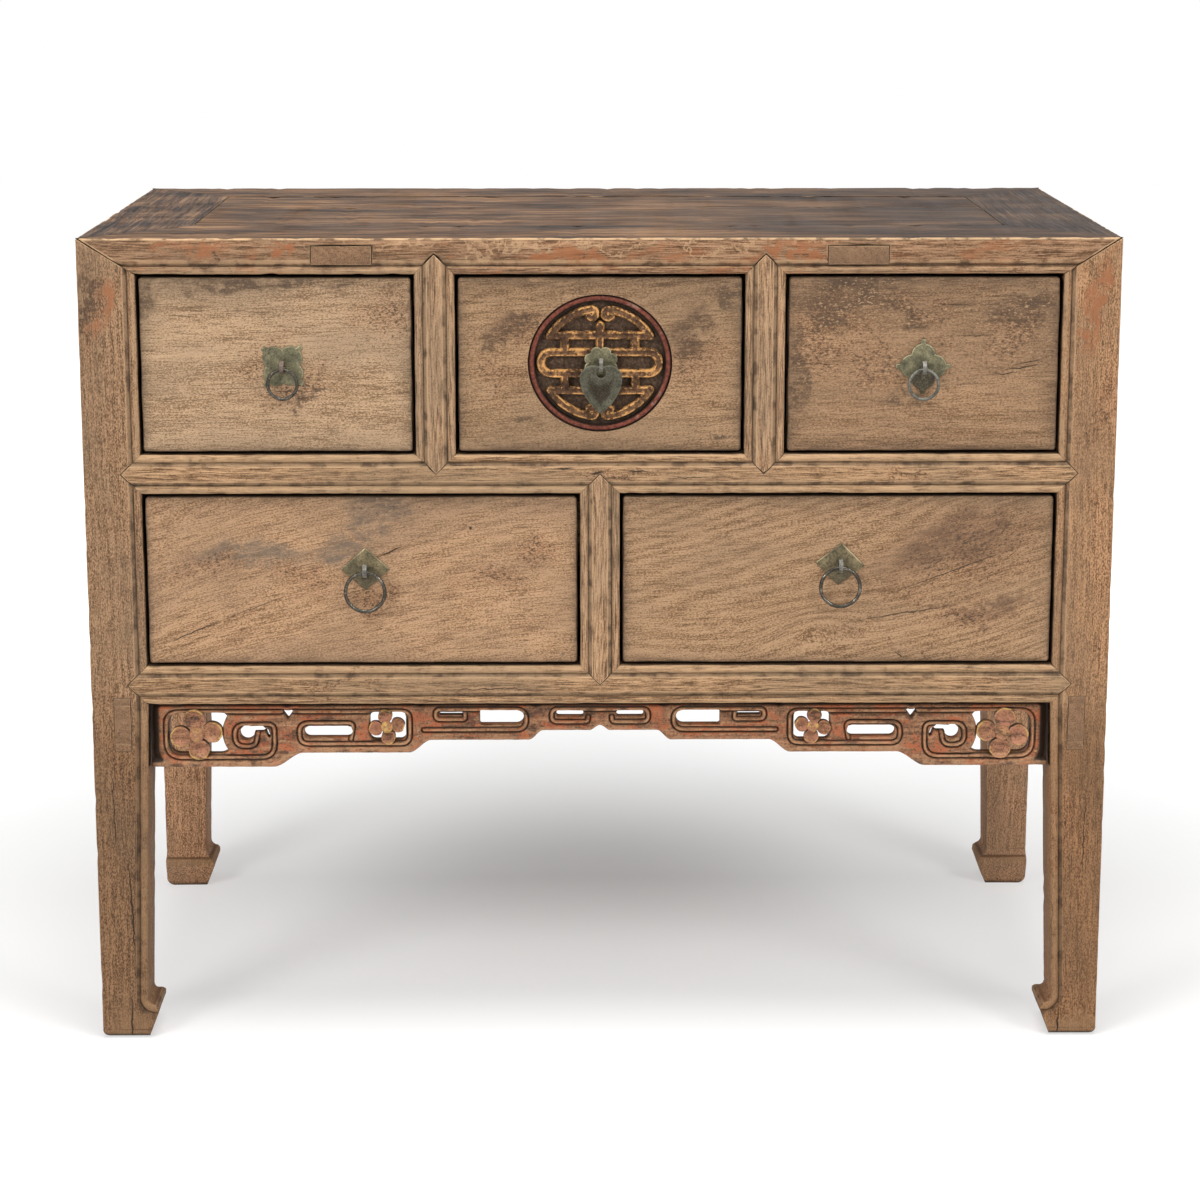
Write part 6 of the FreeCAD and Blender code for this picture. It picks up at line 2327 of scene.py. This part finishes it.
def drawer_fronts() -> list[DrawerFront]:
    """The five fronts, each with its own figure and marks.

    Returns:
        The fronts, row by row from the left.
    """
    board = DrawerFront.board
    return [
        DrawerFront("upper_left", replace(
            board, lean=1.0, tint=(0.98, 0.97, 0.93), marks=marks_of({
                WASH: ((-337, 831, 150, 13), (-306, 704, 24, 12, -15), (-470, 812, 26, 30)),
                FRECKLE: ((-312, 716, 52, 30), (-352, 748, 30, 22), (-220, 790, 50, 50)),
            })), rim=7.0),
        DrawerFront("upper_middle", replace(
            board, lean=4.0, pitch=7.0, tint=(0.80, 0.74, 0.66), marks=marks_of({
                WASH: ((-92, 781, 36, 24, 20), (-72, 688, 22, 6, 15), (95, 770, 34, 52, -20), (138, 818, 22, 26),
                       (123, 662, 20, 9)),
                FRECKLE: ((-106, 728, 46, 42), (100, 750, 44, 66), (-80, 780, 40, 30)),
            })), rim=9.0),
        DrawerFront("upper_right", replace(
            board, lean=1.5, freckles=0.6, flecks=0.6, tint=(0.80, 0.72, 0.64), marks=marks_of({
                WASH: ((262, 806, 84, 32, -4), (202, 728, 18, 70), (326, 784, 34, 20, 10), (436, 798, 52, 34),
                       (318, 702, 34, 14)),
                FRECKLE: ((290, 735, 74, 46), (232, 768, 62, 84), (430, 770, 60, 50), (330, 795, 90, 30)),
                CRACK: ((440, 736, 25, 0.9, 8), (447, 741.5, 17, 0.8, 12), (421, 729.5, 16, 0.8, 4),
                        (369.5, 802, 19, 0.6), (390, 769.6, 17, 0.5), (229, 740, 26, 0.5)),
            })), rim=13.0),
        DrawerFront("lower_left", replace(
            board, lean=17.0, bow=(-0.55, 0.0), cloud=(0.150, 0.116, 0.088), contrast=0.4, tilt=4.0,
            tint=(0.96, 0.87, 0.79), marks=marks_of({
                WASH: ((-239, 580, 74, 20, 4), (-372, 534, 112, 24, 6), (-260, 550, 70, 18, 14), (-29, 437, 9, 9)),
                FRECKLE: ((-318, 512, 66, 24), (-242, 488, 56, 22), (-110, 512, 56, 24), (-62, 548, 36, 26),
                          (-420, 520, 60, 22)),
                CRACK: ((-427, 455, 43, 0.9, 22.4), (-365, 480, 30, 0.5, 20), (-220, 541, 16, 1.4, 24),
                        (-136, 566, 2.6, 2.6)),
            })), rim=5.0),
        DrawerFront("lower_right", replace(
            board, lean=1.0, bow=(0.68, 0.0), knot=Mark(WASH, 226, 462, 120, 56, 14), flecks=0.12, contrast=0.4,
            cloud=(0.165, 0.098, 0.060), ringed=0.26, tilt=7.0, pitch=8.0, pith=(180.0, 44.0, 10.0),
            tint=(0.84, 0.77, 0.69), marks=marks_of({
                CRACK: ((370.5, 518.5, 82, 0.7, 20.7), (325, 473.5, 70, 0.8, 9.3), (317, 428, 9, 0.8, -42)),
                WASH: ((372, 550, 130, 44, 18), (425, 480, 66, 18, 3)),
                FRECKLE: ((278, 454, 10, 8), (308, 443, 11, 9), (346, 436.5, 11, 8), (392, 476, 70, 22),
                          (390, 538, 150, 66, 18)),
            })), rim=5.0),
    ]


def pulls() -> list[Pull]:
    """The five pulls with their plates, rings and patinas.

    Returns:
        The pulls, in the order of the drawers.
    """
    olive = Patina()
    brassy = Patina(metal=(0.160, 0.126, 0.068), bright=(0.310, 0.245, 0.132), spots=0.9)
    dark = Patina(metal=(0.075, 0.067, 0.054), oxide=(0.028, 0.024, 0.020), bright=(0.310, 0.280, 0.230),
                  metallic=0.95, rough=0.30)
    bronze = Patina(metal=(0.135, 0.128, 0.104), oxide=(0.040, 0.036, 0.028), bright=(0.300, 0.285, 0.240),
                    metallic=0.6, rough=0.5)
    drop = Patina(metal=(0.085, 0.080, 0.055), oxide=(0.032, 0.028, 0.020), bright=(0.170, 0.162, 0.118),
                  stain=(0.026, 0.017, 0.010), metallic=0.1, gloss=0.15, rough=0.62)
    rusty = Patina(metal=(0.105, 0.070, 0.052), oxide=(0.045, 0.030, 0.023), bright=(0.215, 0.160, 0.125),
                   metallic=0.4, rough=0.6)
    silvery = Patina(metal=(0.130, 0.120, 0.100), oxide=(0.045, 0.040, 0.034), bright=(0.250, 0.235, 0.205),
                     metallic=0.4, gloss=0.3, rough=0.6)
    return [
        Pull("upper_left", PlateKind.QUATREFOIL, RingKind.SMALL, 2.0, olive, dark, rusty),
        Pull("upper_middle", PlateKind.ROSETTE, RingKind.LEAF, 0.0, olive, drop, silvery),
        Pull("upper_right", PlateKind.QUATREFOIL, RingKind.SMALL, -45.0, olive, bronze, silvery, shade=0.95),
        Pull("lower_left", PlateKind.DIAMOND, RingKind.LARGE, 0.0, brassy, dark, silvery, shade=0.5),
        Pull("lower_right", PlateKind.DIAMOND, RingKind.LARGE, -4.0, brassy, dark, silvery, shade=0.6),
    ]


def main() -> None:
    """Builds the table in the order that a maker would put it together, then the studio round it."""
    logging.basicConfig(level=logging.INFO, format="%(name)s: %(message)s")
    Carcass().dress()
    CarvedApron().dress()
    for drawer in drawer_fronts():
        drawer.dress()
    Roundel().dress()
    for pull in pulls():
        pull.dress()
    Studio().build()


if __name__ == "__main__":
    main()
